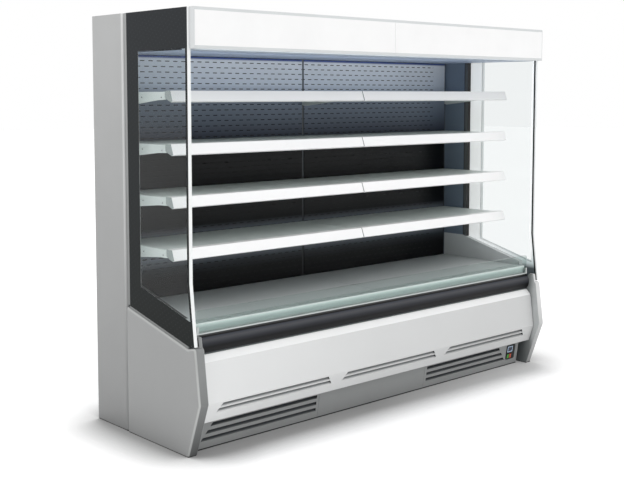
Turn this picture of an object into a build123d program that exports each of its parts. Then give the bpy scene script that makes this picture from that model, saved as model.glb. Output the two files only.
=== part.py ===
"""Open multideck display fridge with glazed ends, four shelf levels and a front deck.

Millimetres, +Z up. The origin is on the floor, at the middle of the length and of the
depth. X runs along the front from left to right, and the open front faces -Y.
"""

from math import hypot
import os

from build123d import *

# ------------------------------------------------------------------ driving dimensions

LENGTH = 2580.0            # over the two lower end panels
HEIGHT = 2030.0
DEPTH = 884.0              # knee of the end panels to the rear wall
HALF_DEPTH = DEPTH / 2

INNER_X = 1240.0           # half of the clear width between the ends
PANE_X = 1283.0            # outer face of an end glass
PANE_THICK = 8.0
MASK_THICK = 3.0
MASK_X = PANE_X - PANE_THICK   # inner face of an end glass, where its printed border lies
COLUMN_X = 1285.0          # outer face of a rear column
CANOPY_X = 1277.0          # outer face of a canopy end cap

CANOPY_FRONT_Y = -404.0
CANOPY_BOTTOM = 1847.0
CANOPY_TRIM = 14.0
GLASS_FRONT_Y = -367.0
GLASS_REAR_Y = 135.0
GLASS_BEND_Z = 800.0       # below this height the glass's front edge leans forward
COLUMN_FRONT_Y = 158.0
BACK_PANEL_Y = 315.0
REAR_WALL_Y = 380.0        # inner face of the insulated rear wall
CEILING_Z = 1844.0
ROOF_UNDER = HEIGHT - 78
OUTLET_FRONT_Y = -348.0    # the cold-air outlet between the canopy and the ceiling
OUTLET_BACK_Y = -262.0

SHELF_LEVELS = (1661.0, 1415.0, 1169.0, 923.0)   # top edges of the price rails
SHELF_FRONT_Y = -118.0
BRACKET_HALF = 1.5
HOOK_DROP = 20.0           # a hook's bearing edge lies this far below the rail's top edge
RAIL_FACE = 45.0
RAIL_LEAN = 17.0
SHEET = 1.2

DECK_Z = 604.0
TROUGH_TOP = 548.0
RISER_TOP = 667.0
BASE_TOP = 62.0
BASE_BOTTOM = 22.0
TROUGH_BOTTOM = 345.0
TROUGH_FLOOR = 418.0       # inside the insulated trough
END_PANEL_BOTTOM = 4.0

END_TOP_REAR = (148.0, 620.0)
END_TOP_FRONT = (-349.0, 502.0)
END_NOSE = (-409.0, 516.0)
END_KNEE = (-HALF_DEPTH - 0.7, 257.0)   # before its corner is rounded
END_TOE = (-350.0, END_PANEL_BOTTOM)
FRONT_SECTION = ((-349.0, 461.0), (-378.0, 431.0), (-403.0, 242.0), (-370.0, 149.0))
KICK_FOOT = (-303.0, 6.0)
KICK_HEAD = (-323.0, 132.0)
KICK_X = 1200.0            # the kick plate stops short of the end panels
KICK_SEAMS = (-456.0, 346.0)

SIDES = (("left", -1), ("right", 1))


# ------------------------------------------------------------------------- small helpers

def folded(points, thickness):
    """Outline of a folded sheet: the given line and the same line offset to its left."""
    corners = []
    for i, (y, z) in enumerate(points):
        before = points[max(i - 1, 0)]
        after = points[min(i + 1, len(points) - 1)]
        turns = []
        for (y0, z0), (y1, z1) in ((before, (y, z)), ((y, z), after)):
            length = hypot(y1 - y0, z1 - z0)
            if length > 0:
                turns.append((-(z1 - z0) / length, (y1 - y0) / length))
        ny = sum(n[0] for n in turns) / len(turns)
        nz = sum(n[1] for n in turns) / len(turns)
        scale = thickness / (ny * ny + nz * nz)
        corners.append((y + ny * scale, z + nz * scale))
    return list(points) + corners[::-1]


def facet_plane(foot, head):
    """Plane on a sloping front face: local x along the fridge, local y up the slope."""
    rise = Vector(0, head[0] - foot[0], head[1] - foot[1]).normalized()
    return Plane(origin=(0, foot[0], foot[1]), x_dir=(1, 0, 0), z_dir=Vector(1, 0, 0).cross(rise))


def side_plane(side, x):
    """Plane of constant X on one end, with local x along Y and local y along Z."""
    return Plane.YZ.offset(side * x)


def save(part, name):
    part.label = name
    export_step(part, f"parts/{name}.step")


os.makedirs("parts", exist_ok=True)


# ------------------------------------------------------------------------- base and feet

FOOT_PLACES = [(x, y) for x in (-1180.0, -400.0, 400.0, 1180.0) for y in (-262.0, 352.0)]
PAD_RADIUS = 24.0
STEM_RADIUS = 10.0         # across the corners of the hexagon

with BuildPart() as levelling_feet:
    with BuildSketch() as pads:
        with Locations(*FOOT_PLACES):
            RegularPolygon(PAD_RADIUS, 12)
    extrude(amount=8)
    with BuildSketch(Plane.XY.offset(7)) as stems:
        with Locations(*FOOT_PLACES):
            RegularPolygon(STEM_RADIUS, 6)
    extrude(amount=BASE_BOTTOM - 7)
save(levelling_feet.part, "levelling_feet")

RAIL_DEPTH = 40.0
BASE_FRONT_Y = -284.0
POST = 30.0
CARRIER_Z = 136.5

with BuildPart() as base_frame:
    with BuildSketch(Plane.YZ) as pan:
        Polygon(
            *folded(((BASE_FRONT_Y, 40), (BASE_FRONT_Y, BASE_TOP), (379, BASE_TOP), (379, 40)), -2),
            align=None,
        )
    extrude(amount=INNER_X - 2, both=True)
    with BuildSketch(Plane.XY.offset(BASE_BOTTOM)) as rails:
        for y in (BASE_FRONT_Y + RAIL_DEPTH / 2 + 2, 379 - RAIL_DEPTH / 2 - 8):
            with Locations((0, y)):
                Rectangle(2 * INNER_X - 8, RAIL_DEPTH)
        for x in (-1180.0, -400.0, 400.0, 1180.0):
            with Locations((x, 45)):
                Rectangle(RAIL_DEPTH, 560)
    extrude(until=Until.NEXT)
    with BuildSketch(Plane.XY.offset(BASE_TOP - 1)) as posts:
        with Locations(*[(x, BASE_FRONT_Y + POST / 2 + 4) for x in (-1180.0, -400.0, 400.0, 1180.0)]):
            Rectangle(POST, POST)
    extrude(amount=TROUGH_BOTTOM - BASE_TOP + 1)
    # an angle across the posts carries the head of the kick plate and the foot of the front panel
    with BuildSketch(Plane.YZ) as carrier:
        Polygon(
            *folded(
                ((-338, CARRIER_Z), (BASE_FRONT_Y + 4.5, CARRIER_Z), (BASE_FRONT_Y + 4.5, CARRIER_Z + 36)),
                3,
            ),
            align=None,
        )
    extrude(amount=INNER_X - 4, both=True)
save(base_frame.part, "base_frame")


# --------------------------------------------------------------------- insulated carcass

with BuildPart() as rear_wall:
    with BuildSketch(Plane.YZ) as slab:
        Polygon(
            (REAR_WALL_Y, BASE_TOP), (440, BASE_TOP),
            (440, HEIGHT - 6), (REAR_WALL_Y, HEIGHT - 6),
            align=None,
        )
    extrude(amount=INNER_X - 0.5, both=True)
    # two upright folds stiffen the outer sheet
    with BuildSketch(Plane.XY.offset(BASE_TOP + 40)) as folds:
        with Locations((-INNER_X / 3, 441), (INNER_X / 3, 441)):
            Rectangle(26, 2)
    extrude(amount=HEIGHT - BASE_TOP - 90)
save(rear_wall.part, "rear_wall")

TROUGH = (
    (-340, TROUGH_TOP),
    (-292, TROUGH_TOP),
    (-292, 452),
    (-244, TROUGH_FLOOR),
    (REAR_WALL_Y, TROUGH_FLOOR),
    (REAR_WALL_Y, TROUGH_BOTTOM),
    (-292, TROUGH_BOTTOM),
    (-340, 398),
)

with BuildPart() as bottom_trough:
    with BuildSketch(Plane.YZ) as tub:
        Polygon(*TROUGH, align=None)
        fillet(tub.vertices().group_by(Axis.Y)[1:3], 8)
    extrude(amount=INNER_X - 0.5, both=True)
save(bottom_trough.part, "bottom_trough")

with BuildPart() as roof_panel:
    with BuildSketch(Plane.YZ) as slab:
        Polygon(
            (-388, HEIGHT - 60), (-388, HEIGHT - 2), (REAR_WALL_Y, HEIGHT - 2),
            (REAR_WALL_Y, ROOF_UNDER), (-330, ROOF_UNDER),
            align=None,
        )
    extrude(amount=PANE_X - PANE_THICK - 4.5, both=True)
    # the columns stand in the rear corners
    with BuildSketch(Plane.XY.offset(HEIGHT - 100)) as corners:
        for _, side in SIDES:
            with Locations((side * (INNER_X + 30), (GLASS_REAR_Y - 1 + HALF_DEPTH) / 2)):
                Rectangle(60, HALF_DEPTH - GLASS_REAR_Y + 2)
    extrude(amount=120, mode=Mode.SUBTRACT)
save(roof_panel.part, "roof_panel")

with BuildPart() as ceiling_panel:
    with BuildSketch(Plane.YZ) as lining:
        Polygon(
            *folded(
                ((OUTLET_BACK_Y, ROOF_UNDER), (OUTLET_BACK_Y, CEILING_Z), (BACK_PANEL_Y + 4, CEILING_Z),
                 (BACK_PANEL_Y + 4, CEILING_Z + 22)),
                1.5,
            ),
            align=None,
        )
    extrude(amount=INNER_X - 1, both=True)
save(ceiling_panel.part, "ceiling_panel")

COLUMN_ROUND = 24.0

for name, side in SIDES:
    with BuildPart() as rear_column:
        with BuildSketch(Plane.XY.offset(END_PANEL_BOTTOM)) as plan:
            Polygon(
                (side * INNER_X, COLUMN_FRONT_Y), (side * COLUMN_X, COLUMN_FRONT_Y),
                (side * COLUMN_X, HALF_DEPTH), (side * INNER_X, HALF_DEPTH),
                align=None,
            )
            outer = plan.vertices().sort_by(Axis((0, 0, 0), (side, 0, 0)))[-2:]
            fillet(outer.sort_by(Axis.Y)[0], COLUMN_ROUND)
            fillet(plan.vertices().filter_by_position(Axis.Y, HALF_DEPTH - 1, HALF_DEPTH + 1), 4)
        extrude(amount=HEIGHT - END_PANEL_BOTTOM)
        # a set-back lip closes the joint behind the glass and behind the lower end panel
        for low, high, lip_y, lip_x in (
            (END_TOP_REAR[1] + 4, HEIGHT, GLASS_REAR_Y - 0.5, MASK_X - MASK_THICK - 0.5),
            (END_PANEL_BOTTOM, END_TOP_REAR[1], END_TOP_REAR[0] + 1.5, COLUMN_X - 8),
        ):
            with BuildSketch(Plane.XY.offset(low)) as lip:
                Polygon(
                    (side * (INNER_X + 2), lip_y), (side * lip_x, lip_y),
                    (side * lip_x, COLUMN_FRONT_Y + 5), (side * (INNER_X + 2), COLUMN_FRONT_Y + 5),
                    align=None,
                )
            extrude(amount=high - low)
    save(rear_column.part, f"rear_column_{name}")


# ------------------------------------------------------------------- end glass and masks

SEAL_GAP = 11.0            # between the sloping top of an end panel and the glass
GLASS_FOOT = (-400.0, END_NOSE[1] + 1)   # the glass's front edge ends here, behind the nose
PANE = (
    (GLASS_REAR_Y, HEIGHT),
    (GLASS_REAR_Y, END_TOP_REAR[1] - 3 + SEAL_GAP),
    (END_TOP_FRONT[0], END_TOP_FRONT[1] + SEAL_GAP),
    GLASS_FOOT,
    (GLASS_FRONT_Y, GLASS_BEND_Z),
    (GLASS_FRONT_Y, HEIGHT),
)
WINDOW_REAR_Y = 45.0
WINDOW_FRONT_Y = GLASS_FRONT_Y + 30
WINDOW_LOW = (730.0, 623.0)     # heights of the window's bottom edge, rear and front
WINDOW = (
    (WINDOW_REAR_Y, CANOPY_BOTTOM + 1),
    (WINDOW_REAR_Y, WINDOW_LOW[0]),
    (WINDOW_FRONT_Y - 20, WINDOW_LOW[1]),
    (WINDOW_FRONT_Y, GLASS_BEND_Z),
    (WINDOW_FRONT_Y, CANOPY_BOTTOM + 1),
)
EDGE_LIP = 4.0
EDGE_WEB = 2.0

for name, side in SIDES:
    with BuildPart() as side_glass:
        with BuildSketch(side_plane(side, MASK_X)) as pane:
            Polygon(*PANE, align=None)
        extrude(amount=side * PANE_THICK)
    save(side_glass.part, f"side_glass_{name}")

    with BuildPart() as glass_mask:
        with BuildSketch(side_plane(side, MASK_X - MASK_THICK)) as border:
            Polygon(*PANE, align=None)
            Polygon(*WINDOW, align=None, mode=Mode.SUBTRACT)
        extrude(amount=side * MASK_THICK)
    save(glass_mask.part, f"glass_mask_{name}")

    # a light channel grips the front edge of the glass
    EDGE_LINE = ((GLASS_FRONT_Y, HEIGHT), (GLASS_FRONT_Y, GLASS_BEND_Z), GLASS_FOOT)
    with BuildPart() as edge_profile:
        with BuildSketch(side_plane(side, MASK_X - MASK_THICK - 1.5)) as channel:
            Polygon(*folded(EDGE_LINE, -EDGE_WEB), align=None)
            Polygon(*folded(EDGE_LINE, EDGE_LIP), align=None)
        extrude(amount=side * (PANE_THICK + MASK_THICK + 3))
        with BuildSketch(side_plane(side, MASK_X - MASK_THICK)) as grip:
            Polygon(*folded(EDGE_LINE, EDGE_LIP + 1), align=None)
        extrude(amount=side * (PANE_THICK + MASK_THICK), mode=Mode.SUBTRACT)
    save(edge_profile.part, f"edge_profile_{name}")


# ----------------------------------------------------------------------- lower end panels

END_PANEL_ROUND = 14.0
TONGUE_TOP = 557.0
TONGUE_THICK = 17.0

for name, side in SIDES:
    with BuildPart() as end_panel:
        with BuildSketch(side_plane(side, INNER_X + 2)) as cheek:
            Polygon(
                (END_TOP_REAR[0], END_PANEL_BOTTOM), END_TOP_REAR, END_TOP_FRONT,
                END_NOSE, END_KNEE, END_TOE,
                align=None,
            )
            fillet(cheek.vertices().sort_by_distance((*END_KNEE, 0))[0], 26)
            fillet(cheek.vertices().sort_by_distance((*END_NOSE, 0))[0], 18)
        extrude(amount=side * (LENGTH / 2 - INNER_X - 2))
        outer_face = end_panel.faces().sort_by(Axis((0, 0, 0), (side, 0, 0)))[-1]
        front_edges = outer_face.edges().filter_by(
            lambda e: e.center().Y < -200 or e.center().Z > 500
        ).filter_by(lambda e: e.center().Y < END_TOP_REAR[0] - 5 and e.center().Z > END_PANEL_BOTTOM + 5)
        fillet(front_edges, END_PANEL_ROUND)
        # the tongue closes the end of the bumper
        with BuildSketch(side_plane(side, INNER_X + 2)) as tongue:
            Polygon(
                (-404, 480), (-404 + 11, TONGUE_TOP), (-362, TONGUE_TOP), (-350, 540), (-350, 480),
                align=None,
            )
            fillet(tongue.vertices().group_by(Axis.Y)[-1], 7)
        extrude(amount=side * TONGUE_THICK)
    save(end_panel.part, f"lower_end_panel_{name}")

LINER_THICK = 3.0
LINER_FRONT_Y = -288.0
LINER_DROP = 15.0          # the liner ends this far below the window


def liner_top(y):
    """Height of the liner's top, which runs along the window's lower edge."""
    (y0, z0), (y1, z1) = (WINDOW_FRONT_Y - 20, WINDOW_LOW[1]), (WINDOW_REAR_Y, WINDOW_LOW[0])
    return z0 + (z1 - z0) * (y - y0) / (y1 - y0) - LINER_DROP


with BuildPart() as end_liners:
    for _, side in SIDES:
        with BuildSketch(side_plane(side, INNER_X - LINER_THICK)) as liner:
            Polygon(
                (LINER_FRONT_Y, liner_top(LINER_FRONT_Y)),
                (COLUMN_FRONT_Y, liner_top(COLUMN_FRONT_Y)),
                (BACK_PANEL_Y - 1, liner_top(COLUMN_FRONT_Y)), (BACK_PANEL_Y - 1, TROUGH_FLOOR),
                (-240, TROUGH_FLOOR), (LINER_FRONT_Y, 456),
                align=None,
            )
        extrude(amount=side * LINER_THICK)
        # the end wall behind the glass is solid up to the top of the liner
        with BuildSketch(side_plane(side, INNER_X - 0.5)) as ledge:
            Polygon(
                (LINER_FRONT_Y, 520), (LINER_FRONT_Y, liner_top(LINER_FRONT_Y)),
                (GLASS_REAR_Y - 1, liner_top(GLASS_REAR_Y - 1)), (GLASS_REAR_Y - 1, END_TOP_REAR[1] + 5),
                align=None,
            )
        extrude(amount=side * (MASK_X - MASK_THICK - INNER_X + 0.5))
save(end_liners.part, "end_liners")


# -------------------------------------------------------------- back duct and its uprights

SLOT_LONG = 24.0
SLOT_HIGH = 4.0
SLOT_PITCH = 50.0
SLOT_TOP_ROW = 1815.0
SLOT_ROW_PITCH = 28.0
SLOT_ROWS = (0, 1, 10, 19, 28, 37)   # rows of the grid that are open; odd rows stand half a pitch on
SLOT_COUNT = 7
SLOT_STEP = 3 * SLOT_PITCH     # every third place of the grid is an open slot
PANEL_IN = 8.0
PANEL_OUT = 1226.0

for name, side in SIDES:
    with BuildPart() as back_panel:
        with BuildSketch(Plane.XY.offset(DECK_Z + 4)) as section:
            Polygon(
                *folded(
                    ((side * PANEL_IN, BACK_PANEL_Y + 4), (side * PANEL_IN, BACK_PANEL_Y),
                     (side * PANEL_OUT, BACK_PANEL_Y), (side * PANEL_OUT, BACK_PANEL_Y + 4)),
                    side * 1.5,
                ),
                align=None,
            )
        extrude(amount=CEILING_Z - DECK_Z - 6)
        with BuildSketch(Plane.XZ.offset(-BACK_PANEL_Y + 4)) as slots:
            for row in SLOT_ROWS:
                first = SLOT_PITCH * (1.5 + (row % 2) / 2)
                middle = side * (first + SLOT_STEP * (SLOT_COUNT - 1) / 2)
                with Locations((middle, SLOT_TOP_ROW - row * SLOT_ROW_PITCH)):
                    with GridLocations(SLOT_STEP, 1, SLOT_COUNT, 1):
                        Rectangle(SLOT_LONG, SLOT_HIGH)
        extrude(amount=-12, mode=Mode.SUBTRACT)
    save(back_panel.part, f"back_panel_{name}")

UPRIGHT_HALF = 20.0
HOOK_SLOT = (6.0, 20.0)
HOOK_PLAY = 0.4
BRACKET_X = (4.0, 1231.0)

with BuildPart() as shelf_uprights:
    for x in (-1225.0, 0.0, 1225.0):
        half = UPRIGHT_HALF if x == 0 else 13.5
        with BuildSketch(Plane.XY.offset(TROUGH_FLOOR)) as channel:
            Polygon(
                *folded(
                    ((x - half, REAR_WALL_Y), (x - half, BACK_PANEL_Y + 4),
                     (x + half, BACK_PANEL_Y + 4), (x + half, REAR_WALL_Y)),
                    2,
                ),
                align=None,
            )
        extrude(amount=ROOF_UNDER - TROUGH_FLOOR)
    with BuildSketch(Plane.XZ.offset(-BACK_PANEL_Y)) as hook_slots:
        for level in SHELF_LEVELS:
            for x in (-BRACKET_X[1], -BRACKET_X[0], BRACKET_X[0], BRACKET_X[1]):
                with Locations((x, level - HOOK_DROP - HOOK_PLAY + HOOK_SLOT[1] / 2)):
                    Rectangle(*HOOK_SLOT)
    extrude(amount=-12, mode=Mode.SUBTRACT)
save(shelf_uprights.part, "shelf_uprights")


# -------------------------------------------------------------------------------- shelves

TRAY_BACK_Y = 306.0
RAIL_SHEET = 2.2
RAIL_BACK_Y = SHELF_FRONT_Y - RAIL_SHEET
TRAY_EDGE = 24.0
TRAY_DROP = 3.0            # the tray lies this far below the rail's top edge
TRAY_IN = BRACKET_X[0] + BRACKET_HALF + 0.5
TRAY_OUT = BRACKET_X[1] - BRACKET_HALF - 0.5

for number, level in enumerate(SHELF_LEVELS, start=1):
    for name, side in SIDES:
        tray_top = level - TRAY_DROP
        with BuildPart() as shelf:
            with BuildSketch(side_plane(side, TRAY_IN)) as tray:
                Polygon(
                    *folded(
                        ((SHELF_FRONT_Y + 12, tray_top - TRAY_EDGE), (SHELF_FRONT_Y, tray_top - TRAY_EDGE),
                         (SHELF_FRONT_Y, tray_top), (TRAY_BACK_Y, tray_top),
                         (TRAY_BACK_Y, tray_top - TRAY_EDGE), (TRAY_BACK_Y - 12, tray_top - TRAY_EDGE)),
                        -SHEET,
                    ),
                    align=None,
                )
            extrude(amount=side * (TRAY_OUT - TRAY_IN))
            # a hat-shaped stiffener runs under the middle of the tray
            with BuildSketch(side_plane(side, TRAY_IN)) as stiffener:
                Polygon(
                    *folded(
                        ((60, tray_top - SHEET), (66, tray_top - 18),
                         (126, tray_top - 18), (132, tray_top - SHEET)),
                        SHEET,
                    ),
                    align=None,
                )
            extrude(amount=side * (TRAY_OUT - TRAY_IN))
            for x in BRACKET_X:
                with BuildSketch(side_plane(side, x - BRACKET_HALF)) as bracket:
                    Polygon(
                        (SHELF_FRONT_Y, level - 4), (TRAY_BACK_Y + 8, level - 4),
                        (TRAY_BACK_Y + 8, level - 14), (324.5, level - 14), (324.5, level - HOOK_DROP - 6),
                        (322.5, level - HOOK_DROP - 6), (321.6, level - HOOK_DROP),
                        (TRAY_BACK_Y + 8, level - HOOK_DROP),
                        (TRAY_BACK_Y + 12.7, level - 74), (TRAY_BACK_Y - 6, level - 80),
                        (-55, level - 42), (SHELF_FRONT_Y, level - 40),
                        align=None,
                    )
                extrude(amount=side * 2 * BRACKET_HALF)
                # the tray's flank stands against the bracket
                flank = x + BRACKET_HALF if x == BRACKET_X[0] else x - BRACKET_HALF - 1.7
                with BuildSketch(side_plane(side, flank)) as seat:
                    Polygon(
                        (SHELF_FRONT_Y, tray_top), (TRAY_BACK_Y, tray_top),
                        (TRAY_BACK_Y, tray_top - TRAY_EDGE), (SHELF_FRONT_Y, tray_top - TRAY_EDGE),
                        align=None,
                    )
                extrude(amount=side * 1.7)
        save(shelf.part, f"shelf_{number}_{name}")

        face_top = (SHELF_FRONT_Y - 43, level)
        face_foot = (SHELF_FRONT_Y - 43 - RAIL_LEAN, level - RAIL_FACE)
        with BuildPart() as price_rail:
            with BuildSketch(side_plane(side, BRACKET_X[0] - BRACKET_HALF)) as moulding:
                Polygon(
                    *folded(
                        ((RAIL_BACK_Y, level - 30), (RAIL_BACK_Y, level), face_top, face_foot,
                         (face_foot[0] + 14, face_foot[1] - 5)),
                        -RAIL_SHEET,
                    ),
                    align=None,
                )
            extrude(amount=side * (1236.0 - BRACKET_X[0] + BRACKET_HALF))
            for x in (BRACKET_X[0] - BRACKET_HALF, 1236.0 - 2.5):
                with BuildSketch(side_plane(side, x)) as cap:
                    Polygon(
                        (RAIL_BACK_Y, level - 34), (RAIL_BACK_Y, level), face_top, face_foot,
                        (face_foot[0] + 14, face_foot[1] - 5),
                        align=None,
                    )
                extrude(amount=side * 2.5)
        save(price_rail.part, f"price_rail_{number}_{name}")


# --------------------------------------------------------------------------------- canopy

CANOPY_PANEL = 2.0
LAMP_Y = -376.0
CAP_REAR_Y = GLASS_FRONT_Y - EDGE_WEB - 0.5

with BuildPart() as canopy_panels:
    for _, side in SIDES:
        with BuildSketch(side_plane(side, 0.75)) as cover:
            Polygon(
                *folded(
                    ((-391, CANOPY_BOTTOM + CANOPY_TRIM), (CANOPY_FRONT_Y, CANOPY_BOTTOM + CANOPY_TRIM),
                     (CANOPY_FRONT_Y, HEIGHT - CANOPY_TRIM), (-391, HEIGHT - CANOPY_TRIM)),
                    -CANOPY_PANEL,
                ),
                align=None,
            )
        extrude(amount=side * (CANOPY_X - 5.5))
save(canopy_panels.part, "canopy_panels")

with BuildPart() as canopy_frame:
    with BuildSketch(Plane.YZ) as trims:
        # the lower trim turns up behind the cover and forms the lamp's channel
        Polygon(
            *folded(
                ((CANOPY_FRONT_Y, CANOPY_BOTTOM + CANOPY_TRIM), (CANOPY_FRONT_Y, CANOPY_BOTTOM),
                 (LAMP_Y - 12, CANOPY_BOTTOM), (LAMP_Y - 12, CANOPY_BOTTOM + 34),
                 (OUTLET_FRONT_Y - 2, CANOPY_BOTTOM + 34), (OUTLET_FRONT_Y - 2, CANOPY_BOTTOM - 1)),
                2,
            ),
            align=None,
        )
        Polygon(
            (CANOPY_FRONT_Y, HEIGHT - CANOPY_TRIM), (CANOPY_FRONT_Y, HEIGHT), (CAP_REAR_Y, HEIGHT),
            (CAP_REAR_Y, HEIGHT - 2), (-390, HEIGHT - 2), (-390, HEIGHT - CANOPY_TRIM),
            align=None,
        )
        fillet(trims.vertices().sort_by_distance((CANOPY_FRONT_Y, HEIGHT, 0))[0], 3)
    extrude(amount=CANOPY_X - 4.5, both=True)
    for _, side in SIDES:
        with BuildSketch(side_plane(side, CANOPY_X - 4.5)) as cap:
            Polygon(
                (CANOPY_FRONT_Y, CANOPY_BOTTOM), (CAP_REAR_Y, CANOPY_BOTTOM),
                (CAP_REAR_Y, HEIGHT), (CANOPY_FRONT_Y, HEIGHT),
                align=None,
            )
            fillet(cap.vertices().group_by(Axis.X)[0], 3)
        extrude(amount=side * 4.5)
        # the channel stops short of the glass
        with BuildSketch(Plane.XY.offset(CANOPY_BOTTOM - 2)) as clearance:
            with Locations((side * (MASK_X - MASK_THICK), CAP_REAR_Y + 15)):
                Rectangle(4, 30)
        extrude(amount=60, mode=Mode.SUBTRACT)
save(canopy_frame.part, "canopy_frame")

with BuildPart() as lamp:
    with BuildSketch(Plane.YZ) as diffuser:
        with Locations((LAMP_Y + 8, CANOPY_BOTTOM + 28)):
            Rectangle(14, 12)
        fillet(diffuser.vertices().group_by(Axis.Y)[0], 4)
    extrude(amount=1180, both=True)
    for _, side in SIDES:
        with BuildSketch(side_plane(side, 1180)) as holder:
            with Locations((LAMP_Y + 8, CANOPY_BOTTOM + 27)):
                Rectangle(17, 14)
        extrude(amount=side * 24)
save(lamp.part, "canopy_lamp")

VANE_PITCH = 116.0
VANES = 21

with BuildPart() as air_outlet:
    outlet_centre = (OUTLET_FRONT_Y + OUTLET_BACK_Y) / 2
    with BuildSketch(Plane.XY.offset(CEILING_Z)) as frame:
        with Locations((0, outlet_centre)):
            Rectangle(2 * INNER_X - 4, OUTLET_BACK_Y - OUTLET_FRONT_Y)
            Rectangle(2 * INNER_X - 10, OUTLET_BACK_Y - OUTLET_FRONT_Y - 6, mode=Mode.SUBTRACT)
            with GridLocations(VANE_PITCH, 1, VANES, 1):
                Rectangle(1.5, OUTLET_BACK_Y - OUTLET_FRONT_Y)
            Rectangle(2 * INNER_X - 4, 1.5)
    extrude(amount=26)
save(air_outlet.part, "air_outlet")


# --------------------------------------------------------------- deck, grille and riser glass

GRILLE_FACE_Y = -328.0
DECK_FRONT_Y = -258.0
DECK_BACK_Y = BACK_PANEL_Y - 6
LEDGE_Z = DECK_Z - 20      # the pans stand on ledges at this height

with BuildPart() as return_grille:
    with BuildSketch(Plane.YZ) as fold:
        Polygon(
            *folded(
                ((GRILLE_FACE_Y + 12, TROUGH_TOP), (GRILLE_FACE_Y, TROUGH_TOP), (GRILLE_FACE_Y, DECK_Z - 3),
                 (GRILLE_FACE_Y + 4, DECK_Z), (DECK_FRONT_Y - 1, DECK_Z), (DECK_FRONT_Y - 1, LEDGE_Z),
                 (DECK_FRONT_Y + 12, LEDGE_Z)),
                -1.5,
            ),
            align=None,
        )
    extrude(amount=INNER_X - 4, both=True)
    with BuildSketch(Plane.XY.offset(DECK_Z - 10)) as intake:
        with Locations((0, (GRILLE_FACE_Y + DECK_FRONT_Y) / 2 + 2)):
            with GridLocations(100, 26, 24, 2):
                Rectangle(84, 10)
    extrude(amount=20, mode=Mode.SUBTRACT)
save(return_grille.part, "return_grille")

for name, side in SIDES:
    with BuildPart() as deck_tray:
        with BuildSketch(side_plane(side, 1.5)) as pan:
            Polygon(
                *folded(
                    ((DECK_FRONT_Y, LEDGE_Z + 0.3), (DECK_FRONT_Y, DECK_Z), (DECK_BACK_Y, DECK_Z),
                     (DECK_BACK_Y, LEDGE_Z + 0.3)),
                    -1.5,
                ),
                align=None,
            )
        extrude(amount=side * (INNER_X - LINER_THICK - 4))
        # pressed ribs stiffen the deck from below
        with BuildSketch(side_plane(side, 1.5)) as ribs:
            for y in (-120, 30, 180):
                with Locations((y, DECK_Z - 5)):
                    Trapezoid(40, 8, 60, rotation=180)
        extrude(amount=side * (INNER_X - LINER_THICK - 4))
    save(deck_tray.part, f"deck_tray_{name}")

RISER_Y = -343.0
RISER_THICK = 6.0
RISER_BOTTOM = 553.0
RISER_RADIUS = 12.0

with BuildPart() as riser_glass:
    with BuildSketch(Plane.XZ.offset(-RISER_Y - RISER_THICK / 2)) as pane:
        with Locations((0, (RISER_BOTTOM + RISER_TOP) / 2)):
            Rectangle(2 * INNER_X - 8, RISER_TOP - RISER_BOTTOM)
        fillet(pane.vertices().group_by(Axis.Y)[-1], RISER_RADIUS)
    extrude(amount=RISER_THICK)
save(riser_glass.part, "riser_glass")

with BuildPart() as riser_rail:
    with BuildSketch(Plane.YZ) as channel:
        Polygon(
            (RISER_Y - 6, TROUGH_TOP), (RISER_Y + 6, TROUGH_TOP), (RISER_Y + 6, 562), (RISER_Y + 3, 562),
            (RISER_Y + 3, RISER_BOTTOM), (RISER_Y - 3, RISER_BOTTOM), (RISER_Y - 3, 562), (RISER_Y - 6, 562),
            align=None,
        )
    extrude(amount=INNER_X - 4, both=True)
    # a clip at each end holds the corner of the glass
    for _, side in SIDES:
        with BuildSketch(Plane.XY.offset(TROUGH_TOP)) as clip:
            with Locations((side * (INNER_X - 10), RISER_Y)):
                Rectangle(12, 14)
                Rectangle(13, RISER_THICK, mode=Mode.SUBTRACT)
        extrude(amount=44)
save(riser_rail.part, "riser_rail")


# ------------------------------------------------------------------- bumper and front panel

with BuildPart() as bumper:
    with BuildSketch(Plane.YZ) as roll:
        with BuildLine() as outline:
            ThreePointArc((-348, 547), (-365, 516), (-350, 472))
            Line((-350, 472), (-352, 466))
            Line((-352, 466), (-340, 464))
            Line((-340, 464), (-340, 547))
            Line((-340, 547), (-348, 547))
        make_face()
    extrude(amount=INNER_X - 2, both=True)
save(bumper.part, "bumper")

VENT_CENTRES = (-796.0, 0.0, 796.0)
VENT_HALF = 363.0          # half length of the lower slot at its lower edge
VENT_SLANT = 0.70
VENT_FOOTS = (46.0, 72.0)  # distances of the slots' lower edges up the lower facet
VENT_HIGH = 20.0
PANEL_SHEET = 2.0
FRONT_X = INNER_X - 2
vent_plane = facet_plane(FRONT_SECTION[3], FRONT_SECTION[2])

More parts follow.
